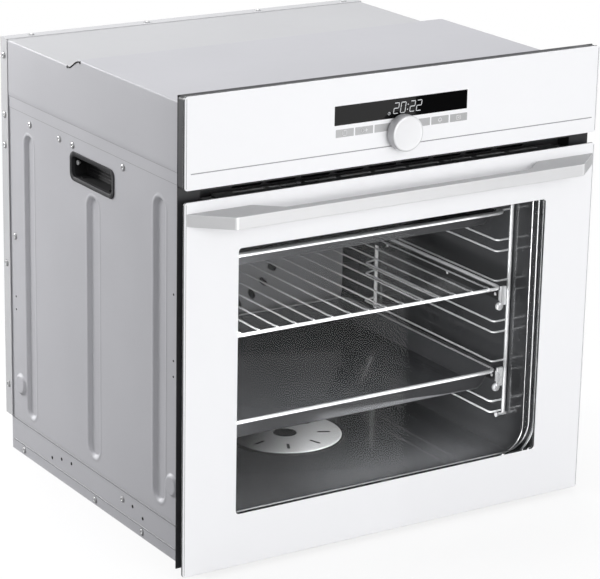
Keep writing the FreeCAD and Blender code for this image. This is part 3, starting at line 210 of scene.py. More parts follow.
MATS = {
    "sheet": surface("painted_sheet", (0.525, 0.523, 0.546), 0.52, metal=0.05, vary=0.018, spread=0.06,
                     patch=5.0, grain=2600.0, bump=0.08, smears=0.08),
    # A lighter copy of the sheet for the roof behind the step: painted light, as that part catches more light.
    "sheet_roof_lit": surface("roof_sheet_painted_light", (0.54, 0.54, 0.55), 0.50, metal=0.05, vary=0.018,
                         spread=0.06, patch=5.0, grain=2600.0, bump=0.08, smears=0.08),
    # A lighter copy of the sheet for the rear cover: painted light on its wrapped edge.
    "sheet_rear_lit": surface("rear_sheet_painted_light", (0.60, 0.60, 0.61), 0.50, metal=0.05, vary=0.018,
                           spread=0.06, patch=5.0, grain=2600.0, bump=0.08, smears=0.08),
    "zinc": surface("zinc_plate", (0.62, 0.62, 0.60), 0.34, metal=1.0, vary=0.12, spread=0.1, patch=60.0),
    "screw": surface("zinc_screw_head", (0.74, 0.74, 0.74), 0.28, metal=0.4, vary=0.12, spread=0.1, patch=120.0),
    "black_plastic": surface("grained_black_plastic", (0.028, 0.028, 0.031), 0.62, vary=0.2, grain=1800.0,
                             bump=0.35, depth=0.0002),
    "frame": surface("satin_black_enamel", (0.022, 0.022, 0.024), 0.42, vary=0.2, grain=1400.0, bump=0.15,
                     smears=0.12),
    "carrier": surface("grained_grey_plastic", (0.095, 0.095, 0.098), 0.50, vary=0.08, grain=1600.0,
                       bump=0.3, depth=0.0002),
    "enamel": surface("speckled_enamel", (0.062, 0.063, 0.066), 0.17, vary=0.10, spread=0.04, bump=0.05,
                      depth=0.0003, specks=(0.30, 0.31, 0.33), flecks=800.0, coat=0.5, ior=1.8),
    "tray": surface("tray_enamel", (0.046, 0.047, 0.050), 0.22, vary=0.10, spread=0.06, bump=0.10,
                    depth=0.0004, specks=(0.34, 0.35, 0.37), flecks=700.0, coat=0.35),
    "baffle": surface("grey_baffle_enamel", (0.175, 0.175, 0.18), 0.38, vary=0.06, bump=0.12, depth=0.0003,
                      specks=(0.16, 0.16, 0.165), flecks=900.0),
    "rubber": surface("silicone_seal", (0.045, 0.045, 0.047), 0.38, vary=0.15, grain=1500.0, bump=0.3),
    "wool": surface("glass_wool", (0.72, 0.66, 0.42), 0.95, vary=0.2, grain=500.0, bump=0.9, depth=0.003),
    "element": surface("heat_darkened_steel", (0.16, 0.15, 0.14), 0.42, metal=0.8, vary=0.3, patch=25.0),
    "disc": surface("turned_steel_painted_sheen", (0.70, 0.70, 0.71), 0.34, metal=0.0, vary=0.03, grain=2600.0, aniso=0.75,
                    bump=0.05),
    "chrome": surface("chromed_wire", (0.95, 0.95, 0.96), 0.18, metal=0.45, vary=0.03, spread=0.05, patch=45.0,
                      bump=0.05),
    "shelf": surface("chromed_shelf_wire", (0.78, 0.78, 0.79), 0.14, metal=0.7, vary=0.05, spread=0.05, patch=45.0,
                     bump=0.05),
    # Darker copy of the tray enamel for the front walls: painted shade.
    "tray_side": surface("tray_front_painted_shade", (0.030, 0.030, 0.032), 0.50, vary=0.10, spread=0.06, bump=0.10,
                         depth=0.0004, specks=(0.20, 0.21, 0.22), flecks=700.0, ior=1.25),
    # Near-white rim and a lighter grey rim top: painted highlight.
    "tray_rim": surface("tray_rim_painted_highlight", (0.78, 0.78, 0.79), 0.20, metal=0.5, vary=0.06, spread=0.06, patch=30.0,
                        bump=0.08),
    "rim_top": surface("rim_top_dim_painted_highlight", (0.40, 0.40, 0.405), 0.25, vary=0.08, spread=0.06, patch=30.0, bump=0.1,
                       coat=0.3),
    "bead": surface("mouth_bead_painted_highlight", (0.90, 0.90, 0.91), 0.22, metal=0.35, vary=0.04, spread=0.05, patch=30.0,
                    bump=0.05),
    "rail": surface("bright_rail_steel", (0.86, 0.86, 0.87), 0.24, metal=0.45, vary=0.06, stretch=BRUSH_Y),
    # Slide steel that is painted near black behind the front posts further down: painted shade.
    "rail_slide": surface("slide_steel_painted_shade", (0.86, 0.86, 0.87), 0.24, metal=0.45, vary=0.06, stretch=BRUSH_Y),
    "rail_dark": surface("blackened_rail_steel", (0.035, 0.035, 0.037), 0.35, metal=0.4, vary=0.2,
                         stretch=BRUSH_Y),
    "motor": surface("plain_motor_steel", (0.50, 0.50, 0.49), 0.40, metal=1.0, vary=0.12, patch=30.0),
    "ceramic": surface("unglazed_ceramic", (0.80, 0.78, 0.72), 0.70, vary=0.05, grain=1200.0, bump=0.4),
    "galvanised": surface("galvanised_duct", (0.60, 0.61, 0.62), 0.38, metal=1.0, vary=0.16, patch=90.0),
    "impeller": surface("moulded_impeller", (0.10, 0.10, 0.10), 0.45, vary=0.12, grain=900.0, bump=0.25),
    "fan": surface("pressed_fan_steel", (0.52, 0.52, 0.52), 0.34, metal=1.0, vary=0.10, patch=40.0),
    "board": surface("circuit_board", (0.05, 0.19, 0.09), 0.45, vary=0.3, patch=160.0, grain=700.0, bump=0.4),
    "moulded": surface("moulded_part", (0.075, 0.075, 0.08), 0.32, vary=0.12, grain=1500.0, bump=0.2),
    "aluminium": surface("anodised_aluminium", (0.74, 0.74, 0.75), 0.32, metal=1.0, vary=0.04,
                         stretch=BRUSH_X, grain=1400.0),
    "handle": surface("brushed_handle", (0.71, 0.71, 0.715), 0.36, metal=0.15, vary=0.03, spread=0.05,
                      stretch=BRUSH_X, grain=1800.0, bump=0.08, aniso=0.4, smears=0.06),
    # A darker copy of the handle finish for its top faces: painted shade.
    "handle_top_shade": surface("brushed_handle_shaded_top", (0.47, 0.47, 0.475), 0.36, metal=0.15, vary=0.03, spread=0.05,
                          stretch=BRUSH_X, grain=1800.0, bump=0.08, smears=0.06),
    # A near-white copy for the faces round the front bends: painted highlight.
    "bend_highlight": surface("painted_highlight_handle_corners", (0.95, 0.95, 0.955), 0.22, metal=0.2, vary=0.02, spread=0.05,
                           stretch=BRUSH_Z, grain=1800.0, bump=0.04),
    "knob": surface("satin_knob", (0.82, 0.82, 0.83), 0.36, metal=0.15, vary=0.02, grain=1800.0, bump=0.06,
                    smears=0.05),
    # A darker copy of the knob finish for its side and back: painted shade.
    "knob_flank_shade": surface("turned_knob_flank_painted_shade", (0.55, 0.55, 0.56), 0.42, metal=0.2, vary=0.05, grain=1800.0,
                         stretch=BRUSH_Z, bump=0.1),
    "white": surface("white_printed_glass", (0.885, 0.885, 0.897), 0.30, vary=0.006, spread=0.03, patch=4.0,
                     grain=400.0, bump=0.01, coat=0.2, ior=1.25, smears=0.03),
    "edge": surface("ground_glass_edge", (0.050, 0.052, 0.052), 0.35, vary=0.15, patch=40.0, coat=0.3),
    "line": surface("printed_grey_line", (0.27, 0.27, 0.275), 0.40, vary=0.04, coat=0.2),
    "fold": surface("shaded_sheet_fold", (0.30, 0.30, 0.31), 0.50, vary=0.03, grain=2600.0, bump=0.08),
    "key": surface("printed_grey_key", (0.45, 0.45, 0.455), 0.38, vary=0.03, grain=2500.0, coat=0.5),
    "icon": surface("printed_key_symbol", (0.82, 0.82, 0.825), 0.38, vary=0.03, coat=0.5),
    "display": surface("black_display_glass", (0.002, 0.002, 0.0022), 0.018, vary=0.2, spread=0.004, bump=0.0,
                       ior=1.27),
    "digit": surface("lit_digits", (0.62, 0.63, 0.64), 0.40, vary=0.05, glow=0.22),
    # Near black for holes, gaps, seams and recesses: painted shade.
    "hole": surface("painted_gap_shade", (0.010, 0.010, 0.011), 0.80, vary=0.3),
    "bulb": surface("frosted_bulb", (0.95, 0.93, 0.88), 0.30, vary=0.03, glow=1.0),
    "clear": pane("clear_window_glass", (0.975, 0.977, 0.978), 1.13),
    "inner_clear": pane("clear_inner_glass", (0.980, 0.982, 0.983), 1.05),
    "lens": pane("lamp_glass", (0.90, 0.90, 0.89), 1.35),
}

CAD_LOOKS = {
    "sheet": ["base_pan"],
    "sheet_rear_lit": ["rear_cover"],
    "zinc": ["casing_screws", "baffle_screws", "handle_screws", "hinge_arms", "hinge_receivers",
             "hinge_leaves", "hinge_pins", "encoder_shaft"],
    "black_plastic": ["cable_gland", "terminal_block"],
    "frame": ["front_frame"],
    "carrier": ["control_carrier"],
    "enamel": ["cavity_shell"],
    "baffle": ["fan_baffle"],
    "wool": ["insulation_blanket"],
    "element": ["ring_element", "grill_element", "bottom_element"],
    "disc": ["floor_disc"],
    "chrome": ["rack_studs"],
    "rail_slide": ["rails_upper_slide", "rails_lower_slide"],
    "rail_dark": ["rails_upper_fixed", "rails_lower_fixed", "rails_upper_middle", "rails_lower_middle"],
    "motor": ["convection_motor", "cooling_motor", "thermostat_probe"],
    "ceramic": ["lamp_socket"],
    "lens": ["lamp_lens"],
    "galvanised": ["air_duct", "blower_housing"],
    "impeller": ["cooling_impeller"],
    "fan": ["convection_fan"],
    "board": ["control_board", "touch_strip"],
    "moulded": ["encoder_body", "encoder_plunger", "display_module"],
    "aluminium": ["door_side_profiles", "door_top_trim", "door_bottom_trim"],
    "inner_clear": ["door_middle_glass", "door_inner_glass"],
}
# Painted highlight on the floor disc: a sheen from near black to near white runs across it, standing in for a
# reflection, over fine turned rings.
turned = MATS["disc"].node_tree
bsdf = turned.nodes["Principled BSDF"]
DISC = limits("floor_disc")
spread = node(turned, "ShaderNodeVectorMath", Vector=scaled(turned, (1, 1, 1)))
spread.operation = "SUBTRACT"
spread.inputs[1].default_value = at((DISC[0] + DISC[1]) / 2, (DISC[2] + DISC[3]) / 2, 0)
across = node(turned, "ShaderNodeVectorMath", Vector=spread.outputs["Vector"])
across.operation = "DOT_PRODUCT"
across.inputs[1].default_value = (0.75, -0.65, 0.0)
painted_sheen = blend_colours(turned, ranged(turned, across.outputs["Value"], 0.0, 1.0, -0.045, 0.045),
                      (0.05, 0.05, 0.052, 1.0), (0.9, 0.9, 0.9, 1.0))
rings = node(turned, "ShaderNodeVectorMath", Vector=spread.outputs["Vector"])
rings.operation = "LENGTH"
cut = node(turned, "ShaderNodeMath", Value=rings.outputs["Value"])
cut.operation = "MULTIPLY"
cut.inputs[1].default_value = 9000.0
groove = node(turned, "ShaderNodeMath", Value=cut.outputs["Value"])
groove.operation = "SINE"
link(turned, blend_colours(turned, ranged(turned, groove.outputs["Value"], 0.0, 0.08, -1.0, 1.0), painted_sheen,
                           (0.45, 0.45, 0.45, 1.0)), bsdf.inputs["Base Color"])


def fades_to(look, y_start, y_end, colour):
    """Lets a look change to another colour between two depths behind the glass front."""
    tree = MATS[look].node_tree
    shown = tree.nodes["Principled BSDF"].inputs["Base Color"]
    tone = shown.links[0].from_socket
    place = node(tree, "ShaderNodeSeparateXYZ", Vector=scaled(tree, (1, 1, 1)))
    behind = ranged(tree, place.outputs["Y"], 0.0, 1.0, at(0, y_start, 0).y, at(0, y_end, 0).y)
    link(tree, blend_colours(tree, behind, tone, (*colour, 1.0)), shown)


# The rear cover is a lighter copy of the sheet, painted light on the edge it wraps round the casing, and its back
# fades to a darker grey. The slides are painted near black behind their front posts as painted shade, so they are
# bright only at the posts.
fades_to("sheet_rear_lit", 518.0, 518.6, (0.43, 0.43, 0.445))
post_y = limits("rails_upper_slide")[2]
fades_to("rail_slide", post_y + 6.0, post_y + 7.0, (0.05, 0.05, 0.052))

for look, names in CAD_LOOKS.items():
    for name in names:
        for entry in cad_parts[name].material_slots:
            entry.material = MATS[look]


# ---------------------------------------------------------------- mesh helpers
def piece(name, points, faces, look, body=ROOT, slot=None, stands_for=(), soft_angle=32.0):
    """A mesh object from millimetre points, riding on a body."""
    mesh = bpy.data.meshes.new(name)
    mesh.from_pydata([at(*p) for p in points], [], faces)
    mesh.validate()
    looks = look if isinstance(look, (list, tuple)) else [look]
    for entry in looks:
        mesh.materials.append(MATS[entry])
    tidy = bmesh.new()
    tidy.from_mesh(mesh)
    bmesh.ops.remove_doubles(tidy, verts=tidy.verts, dist=1e-6)
    bmesh.ops.recalc_face_normals(tidy, faces=tidy.faces)
    tidy.to_mesh(mesh)
    tidy.free()
    mesh.polygons.foreach_set("use_smooth", [True] * len(mesh.polygons))
    mesh.set_sharp_from_angle(angle=math.radians(soft_angle))
    obj = bpy.data.objects.new(name, mesh)
    bpy.context.scene.collection.objects.link(obj)
    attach(obj, body)
    if stands_for:
        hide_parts(*stands_for)
    return obj


def soften(obj, width, segments=3, angle=40.0):
    """Rounded edges, so that they catch the light."""
    bevel = obj.modifiers.new("soft_edges", "BEVEL")
    bevel.width = width * MM
    bevel.segments = segments
    bevel.limit_method = "ANGLE"
    bevel.angle_limit = math.radians(angle)
    bevel.harden_normals = True
    bevel.use_clamp_overlap = True
    return obj


def thicken(obj, outward):
    """Gives a one-sided skin the thickness of sheet, growing inwards."""
    thick = obj.modifiers.new("sheet_thickness", "SOLIDIFY")
    thick.thickness = SHEET * MM
    thick.offset = -1.0 if outward else 1.0
    shading = obj.modifiers.new("flat_shading", "WEIGHTED_NORMAL")
    shading.keep_sharp = True
    return obj


def corner_loop(x0, x1, z0, z1, radius, steps=8):
    """A rectangle with round corners, as (x, z) points all the way round."""
    loop = []
    for cx, cz, start in ((x1 - radius, z1 - radius, 0), (x0 + radius, z1 - radius, 90),
                          (x0 + radius, z0 + radius, 180), (x1 - radius, z0 + radius, 270)):
        for step in range(steps + 1):
            turn = math.radians(start + 90.0 * step / steps)
            loop.append((cx + radius * math.cos(turn), cz + radius * math.sin(turn)))
    return loop


def filled_in(loop, cx, cz, step):
    """The same outline with extra points on its straight sides, evenly turned about a centre."""
    full = []
    for (x0, z0), (x1, z1) in zip(loop, loop[1:] + loop[:1]):
        turn = math.atan2(z0 - cz, x0 - cx)
        swing = (math.atan2(z1 - cz, x1 - cx) - turn + math.pi) % (2 * math.pi) - math.pi
        count = max(1, math.ceil(abs(swing) / step))
        for n in range(count):
            ray_x = math.cos(turn + swing * n / count)
            ray_z = math.sin(turn + swing * n / count)
            along = 0.0 if n == 0 else ((ray_z * (x0 - cx) - ray_x * (z0 - cz))
                                        / (ray_x * (z1 - z0) - ray_z * (x1 - x0)))
            full.append((x0 + along * (x1 - x0), z0 + along * (z1 - z0)))
    return full


def circle(cx, cz, radius, count=48, start=0.0):
    return [(cx + radius * math.cos(start + 2 * math.pi * n / count),
             cz + radius * math.sin(start + 2 * math.pi * n / count)) for n in range(count)]


class Mesh:
    """Collects points and faces of one piece."""

    def __init__(self):
        self.points, self.faces = [], []

    def add(self, points):
        first = len(self.points)
        self.points += points
        return list(range(first, first + len(points)))

    def bridge(self, a, b, closed=True):
        count = len(a)
        for n in range(count if closed else count - 1):
            m = (n + 1) % count
            self.faces.append((a[n], a[m], b[m], b[n]))

    def cap(self, ring):
        self.faces.append(tuple(ring))

    def skin(self, rings, ends=True):
        """A closed skin over rings that have the same count of points."""
        laid = [self.add(ring) for ring in rings]
        for a, b in zip(laid, laid[1:]):
            self.bridge(a, b)
        if ends:
            self.cap(laid[0])
            self.cap(laid[-1])
        return laid

    def block(self, x0, x1, y0, y1, z0, z1):
        self.skin([[(x0, y0, z0), (x1, y0, z0), (x1, y1, z0), (x0, y1, z0)],
                   [(x0, y0, z1), (x1, y0, z1), (x1, y1, z1), (x0, y1, z1)]])

    def plate(self, loop, y0, y1, hole=None):
        """An upright plate from an (x, z) loop, with a hole of the same point count if given."""
        near, far = self.add([(x, y0, z) for x, z in loop]), self.add([(x, y1, z) for x, z in loop])
        self.bridge(near, far)
        if hole is None:
            self.cap(near)
            self.cap(far)
            return
        inner = self.add([(x, y0, z) for x, z in hole])
        outer = self.add([(x, y1, z) for x, z in hole])
        self.bridge(inner, outer)
        self.bridge(near, inner)
        self.bridge(far, outer)

    def wire(self, path, radius, sides=10, closed=False):
        """A round wire along points, with its ends closed."""
        spots = [Vector(p) for p in path]
        count = len(spots)
        rings = []
        side = None
        for n, spot in enumerate(spots):
            back = spots[n - 1] if n or closed else None
            ahead = spots[(n + 1) % count] if n + 1 < count or closed else None
            if back is None:
                along = ahead - spot
            elif ahead is None:
                along = spot - back
            else:
                along = (spot - back).normalized() + (ahead - spot).normalized()
            along.normalize()
            if side is None:
                side = along.orthogonal().normalized()
            side = (side - along * side.dot(along)).normalized()
            other = along.cross(side)
            rings.append([tuple(spot + side * (radius * math.cos(2 * math.pi * k / sides))
                                + other * (radius * math.sin(2 * math.pi * k / sides)))
                          for k in range(sides)])
        laid = [self.add(ring) for ring in rings]
        for a, b in zip(laid, laid[1:]):
            self.bridge(a, b)
        if closed:
            first, last = laid[0], laid[-1]
            shift = min(range(sides), key=lambda s: sum(
                (Vector(self.points[last[k]]) - Vector(self.points[first[(k + s) % sides]])).length
                for k in range(sides)))
            self.bridge(last, [first[(k + shift) % sides] for k in range(sides)])
        else:
            self.cap(laid[0])
            self.cap(laid[-1])

    def lathe(self, profile, origin, axis="Y", count=48):
        """Rings round an axis through origin from (distance along, radius) pairs, closed at both ends."""
        rings = []
        for along, radius in profile:
            ring = []
            for k in range(count):
                turn = 2 * math.pi * k / count
                u, v = radius * math.cos(turn), radius * math.sin(turn)
                x, y, z = origin
                ring.append({"X": (x + along, y + u, z + v), "Y": (x + u, y + along, z + v),
                             "Z": (x + u, y + v, z + along)}[axis])
            rings.append(ring)
        return self.skin(rings)

    def make(self, name, look, **more):
        return piece(name, self.points, self.faces, look, **more)


def bent(points, radius, steps=6, closed=False):
    """The points with every corner turned by an arc of the given radius."""
    spots = [Vector(p) for p in points]
    count = len(spots)
    path = []
    for n, spot in enumerate(spots):
        if not closed and n in (0, count - 1):
            path.append(tuple(spot))
            continue
        back = (spots[n - 1] - spot)
        ahead = (spots[(n + 1) % count] - spot)
        reach = min(back.length, ahead.length) * 0.49
        back.normalize()
        ahead.normalize()
        half = back.angle(ahead) / 2
        bend = min(radius, reach * math.tan(half))
        start = spot + back * (bend / math.tan(half))
        end = spot + ahead * (bend / math.tan(half))
        centre = spot + (back + ahead).normalized() * (bend / math.sin(half))
        a, b = (start - centre).normalized(), (end - centre).normalized()
        for step in range(steps + 1):
            path.append(tuple(centre + a.slerp(b, step / steps) * bend))
    return path


def smooth_step(value):
    value = max(0.0, min(1.0, value))
    return value * value * (3 - 2 * value)


def recolour(obj, choose):
    """Gives each face the material index that choose(normal, centre) says."""
    for face in obj.data.polygons:
        face.material_index = choose(face.normal, face.center)


# ---------------------------------------------------------------- glass front
X0, X1, Y0, Y1, DOOR_LOW, DOOR_HIGH = limits("door_outer_glass")
CORNER = 4.0
WINDOW_HALF = 224.0
WINDOW_LOW = 73.0
WINDOW_HIGH = 406.5
WINDOW_CORNER = 4.5

part = Mesh()
part.plate(corner_loop(X0, X1, DOOR_LOW, DOOR_HIGH, CORNER), Y0, Y1,
           corner_loop(-WINDOW_HALF, WINDOW_HALF, WINDOW_LOW, WINDOW_HIGH, WINDOW_CORNER))
border = part.make("door_glass_border", ["white", "edge", "hole"], body="door", slot="white_glass",
                   stands_for=["door_outer_glass"])


def border_look(normal, centre):
    """White print, ground outer edges, and a dark line round the window painted as shade."""
    x, z = centre.x / MM, centre.z / MM
    inside = abs(x) < WINDOW_HALF + 0.5 and WINDOW_LOW - 0.5 < z < WINDOW_HIGH + 0.5
    if abs(normal.y) > 0.5:
        return 0
    return 2 if inside else 1


recolour(border, border_look)
soften(border, 1.0).modifiers[-1].material = 0

GAP = 0.03
part = Mesh()
part.plate(corner_loop(-WINDOW_HALF + GAP, WINDOW_HALF - GAP, WINDOW_LOW + GAP, WINDOW_HIGH - GAP,
                       WINDOW_CORNER), Y0 + 0.05, Y1 - 0.05)
part.make("door_window_pane", "clear", body="door", slot="clear_glass", stands_for=["door_outer_glass"])

CX0, CX1, CY0, CY1, PANEL_LOW, PANEL_HIGH = limits("control_glass")
KX0, KX1, KNOB_FRONT, KNOB_BACK, KZ0, KZ1 = limits("control_knob")
KNOB_Z = (KZ0 + KZ1) / 2
KNOB_R = (KZ1 - KZ0) / 2
HOLE_R = 5.5
part = Mesh()
outline = filled_in(corner_loop(CX0, CX1, PANEL_LOW, PANEL_HIGH, CORNER, steps=11), 0.0, KNOB_Z,
                    math.radians(8))
part.plate(outline, CY0, CY1,
           [(HOLE_R * math.cos(t), KNOB_Z + HOLE_R * math.sin(t))
            for t in [math.atan2(z - KNOB_Z, x) for x, z in outline]])
panel = part.make("control_panel_glass", ["white", "edge"], slot="white_glass",
                  stands_for=["control_glass"])
recolour(panel, lambda normal, centre: 0 if abs(normal.y) > 0.5 else 1)
soften(panel, 1.0).modifiers[-1].material = 0

# The carrier's outer skin, nearly flush with the glass all round.
part = Mesh()
part.plate(corner_loop(CX0 + 0.15, CX1 - 0.15, PANEL_LOW + 0.4, PANEL_HIGH - 0.9, CORNER), CY1 + 0.05, 15.95,
           corner_loop(CX0 + 2.9, CX1 - 2.9, PANEL_LOW + 2.1, PANEL_HIGH - 2.9, 2.0))
skin = part.make("control_carrier_skin", ["carrier", "frame"], slot="black_plastic")
# Painted shade: the skin's top faces take the black of the frame.
recolour(skin, lambda normal, centre: 1 if normal.z > 0.7 else 0)
soften(skin, 0.3)

# The fine grey line just inside the upright edges of both panels.
for name, low, high, body in (("panel_edge_line", PANEL_LOW, PANEL_HIGH, ROOT),
                              ("door_edge_line", DOOR_LOW, DOOR_HIGH, "door")):
    part = Mesh()
    for side in (-1, 1):
        x = side * (X1 - 1.9)
        part.block(min(x, x - side * 0.6), max(x, x - side * 0.6), -0.05, 0.3, low + 2.5, high - 2.5)
    part.make(name, "line", body=body, slot="white_glass")

# Print on the control glass: display field, seven keys with the middle one behind the knob, a line.
PRINT = 0.06
DISPLAY_HALF = 95.6
DISPLAY_LOW = 537.8
DISPLAY_HIGH = 561.3
part = Mesh()
part.plate(corner_loop(-DISPLAY_HALF, DISPLAY_HALF, DISPLAY_LOW, DISPLAY_HIGH, 0.4, steps=2),
           -PRINT, 0.3)
part.make("display_field", "display", slot="display_black")

part = Mesh()
part.block(-289.5, 289.5, -PRINT, 0.3, 503.4, 504.6)
part.make("panel_line", "line", slot="white_glass")

KEY_START, KEY_PITCH, KEY_WIDTH = -93.5, 27.4, 25.4
KEY_LOW, KEY_HIGH = 523.2, 532.8
part = Mesh()
for index in range(7):
    left = KEY_START + KEY_PITCH * index
    low = KEY_LOW + 1.4 if index == 3 else KEY_LOW
    part.plate(corner_loop(left, left + KEY_WIDTH, low, KEY_HIGH, 0.3, steps=2), -PRINT, 0.3)
part.make("touch_keys", "key", slot="white_glass")

INK = -2.2 * PRINT


def stroke(part, points, width, closed=False):
    """A printed line of the given width through (x, z) points."""
    spots = [Vector((x, z)) for x, z in points]
    pairs = list(zip(spots, spots[1:] + spots[:1])) if closed else list(zip(spots, spots[1:]))
    for a, b in pairs:
        along = (b - a).normalized() * (width / 2)
        side = Vector((-along.y, along.x))
        loop = [a - along + side, a - along - side, b + along - side, b + along + side]
        part.plate([(p.x, p.y) for p in loop], INK, 0.0)


def key_middle(index):
    return KEY_START + KEY_PITCH * index + KEY_WIDTH / 2, (KEY_LOW + KEY_HIGH) / 2


part = Mesh()
x, z = key_middle(0)
stroke(part, corner_loop(x - 2.9, x + 2.9, z - 2.9, z + 2.9, 0.9, steps=2), 0.6, closed=True)
x, z = key_middle(1)
stroke(part, circle(x - 2.2, z, 2.1, 14), 0.6, closed=True)
stroke(part, [(x + 1.6, z), (x + 5.0, z)], 0.6)
stroke(part, [(x + 3.3, z - 1.7), (x + 3.3, z + 1.7)], 0.6)
x, z = key_middle(5)
stroke(part, [(x - 2.6, z - 1.2), (x - 1.9, z + 1.4), (x, z + 2.7), (x + 1.9, z + 1.4), (x + 2.6, z - 1.2)], 0.6,
       closed=True)
stroke(part, [(x - 0.9, z - 2.5), (x + 0.9, z - 2.5)], 0.6)
x, z = key_middle(6)
stroke(part, corner_loop(x - 3.1, x + 3.1, z - 2.4, z + 2.4, 0.6, steps=2), 0.55, closed=True)
stroke(part, [(x - 1.4, z - 0.9), (x + 1.4, z + 0.9)], 0.55)
stroke(part, [(x - 1.4, z + 0.9), (x + 1.4, z - 0.9)], 0.55)
part.make("key_symbols", "icon", slot="white_glass")

SEGMENTS = {"0": "abcdef", "2": "abged"}
DIGIT_W, DIGIT_H, SLANT, STROKE = 6.6, 12.6, 0.14, 0.85


def digit(part, left, low, value):
    """A seven-segment figure, slanted, with gaps between its strokes."""
    high, mid, right = low + DIGIT_H, low + DIGIT_H / 2, left + DIGIT_W
    gap = 0.75
    lines = {"a": ((left + gap, high), (right - gap, high)), "b": ((right, high - gap), (right, mid + gap)),
             "c": ((right, mid - gap), (right, low + gap)), "d": ((left + gap, low), (right - gap, low)),
             "e": ((left, mid - gap), (left, low + gap)), "f": ((left, high - gap), (left, mid + gap)),
             "g": ((left + gap, mid), (right - gap, mid))}
    for letter in SEGMENTS[value]:
        stroke(part, [(x + (z - low) * SLANT, z) for x, z in lines[letter]], STROKE)


part = Mesh()
DIGIT_LOW = 543.4
for left, value in ((-12.2, "2"), (-2.4, "0"), (11.2, "2"), (20.6, "2")):
    digit(part, left, DIGIT_LOW, value)
for z in (DIGIT_LOW + 3.2, DIGIT_LOW + 9.2):
    part.plate(circle(7.6 + (z - DIGIT_LOW) * SLANT, z, 0.75, 10), INK, 0.0)
stroke(part, circle(-18.2, 544.2, 1.7, 12), 0.5, closed=True)
stroke(part, [(-18.2, 545.2), (-18.2, 544.2), (-17.4, 544.2)], 0.4)
part.make("display_digits", "digit", slot="display_black")

# ---------------------------------------------------------------- knob
part = Mesh()
depth = KNOB_BACK - KNOB_FRONT
part.lathe([(0, KNOB_R - 1.2), (-0.4, KNOB_R - 0.4), (-1.0, KNOB_R), (-depth + 2.4, KNOB_R - 0.15),
            (-depth + 1.1, KNOB_R - 0.45), (-depth + 0.35, KNOB_R - 1.2), (-depth, KNOB_R - 2.4),
            (-depth + 0.08, KNOB_R - 3.0), (-depth + 0.16, KNOB_R * 0.72), (-depth + 0.30, KNOB_R * 0.4),
            (-depth + 0.38, 1.0)], (0, KNOB_BACK, KNOB_Z), count=96)
knob = part.make("knob_dial", ["knob", "knob_flank_shade"], body="knob", slot="knob_metal",
                 stands_for=["control_knob"], soft_angle=50)
# Painted shade: all but the front face take the darker copy.
recolour(knob, lambda normal, centre: 0 if normal.y < -0.55 else 1)
part = Mesh()
part.lathe([(0, 9.5), (0.5, 9.5), (0.8, 9.2), (0.8, 5.8)], (0, KNOB_BACK - 0.2, KNOB_Z))
part.make("knob_collar", "black_plastic", body="knob", slot="black_plastic")

# ---------------------------------------------------------------- handle
HX0, HX1, HY0, HY1, HZ0, HZ1 = limits("door_handle")
HANDLE_OUTLINE = [(HX0, 0), (-251, HY0), (251, HY0), (HX1, 0), (208, 0), (177, -26), (-177, -26), (-208, 0)]


def rounded_outline(points, radii):
    """A plan outline with each corner turned by its own radius."""
    loop = []
    count = len(points)
    for n, (x, y) in enumerate(points):
        corner = Vector((x, y, 0))
        back, ahead = Vector((*points[n - 1], 0)), Vector((*points[(n + 1) % count], 0))
        if radii[n] <= 0:
            loop.append((x, y))
            continue
        near = corner + (back - corner).normalized() * 30
        far = corner + (ahead - corner).normalized() * 30
        for px, py, _ in bent([tuple(near), (x, y, 0), tuple(far)], radii[n])[1:-1]:
            loop.append((px, py))
    return loop


part = Mesh()
plan = rounded_outline(HANDLE_OUTLINE, [0, 7, 7, 0, 0, 12, 12, 0])
part.skin([[(x, y, HZ0) for x, y in plan], [(x, y, HZ1) for x, y in plan]])
handle = part.make("handle_bar", ["handle", "bend_highlight", "handle_top_shade"], body="door", slot="handle_aluminium",
                   stands_for=["door_handle"], soft_angle=24)
# Painted shade on the top faces and painted highlight on the faces round the front bends.
recolour(handle, lambda normal, centre: 2 if normal.z > 0.7 else
         1 if normal.y < -0.7 and 0.06 < abs(normal.x) < 0.6 else 0)
soften(handle, 0.7, angle=60.0)

# ---------------------------------------------------------------- side panels
SHEET = 0.9
RIBS = [(445.0, 26.0, 60.0, 447.0), (270.0, 31.0, 64.0, 409.0), (102.0, 29.0, 64.0, 450.0)]
DIMPLES = [(476.0, 99.0, 15.0), (70.0, 96.0, 15.0)]
RIB_DEPTH, DIMPLE_RISE, SHOULDER = 4.0, 3.2, 3.8
LIP_RISE, LIP_WIDTH = 0.55, 4.4
GX0, GX1, GRIP_FRONT, GRIP_REAR, GRIP_LOW, GRIP_HIGH = limits("carry_grips")
GRIP_OPENING = (GRIP_FRONT + 4, GRIP_REAR - 4, GRIP_LOW + 4, GRIP_HIGH - 4)
SIDE_SCREWS = [(441.0, 463.0), (359.0, 463.0), (323.0, 463.0), (192.0, 465.0), (268.0, 6.8), (145.0, 7.4),
               (470.0, 6.8), (195.0, 34.0), (488.0, 302.0)]


def relief_at(y, z):
    """How far the pressed sheet stands out at a point: ribs are pressed in, dimples stand out."""
    rise = 0.0
    for middle, width, low, high in RIBS:
        radius = width / 2
        dz = max(low + radius - z, 0.0, z - (high - radius))
        inside = radius - math.hypot(y - middle, dz)
        rise -= RIB_DEPTH * smooth_step(inside / SHOULDER)
        if -LIP_WIDTH < inside < 0.0:
            rise += LIP_RISE * math.sin(math.pi * inside / LIP_WIDTH) ** 2
    for cy, cz, radius in DIMPLES:
        inside = radius - math.hypot(y - cy, z - cz)
        rise += DIMPLE_RISE * smooth_step(inside / SHOULDER)
    return rise


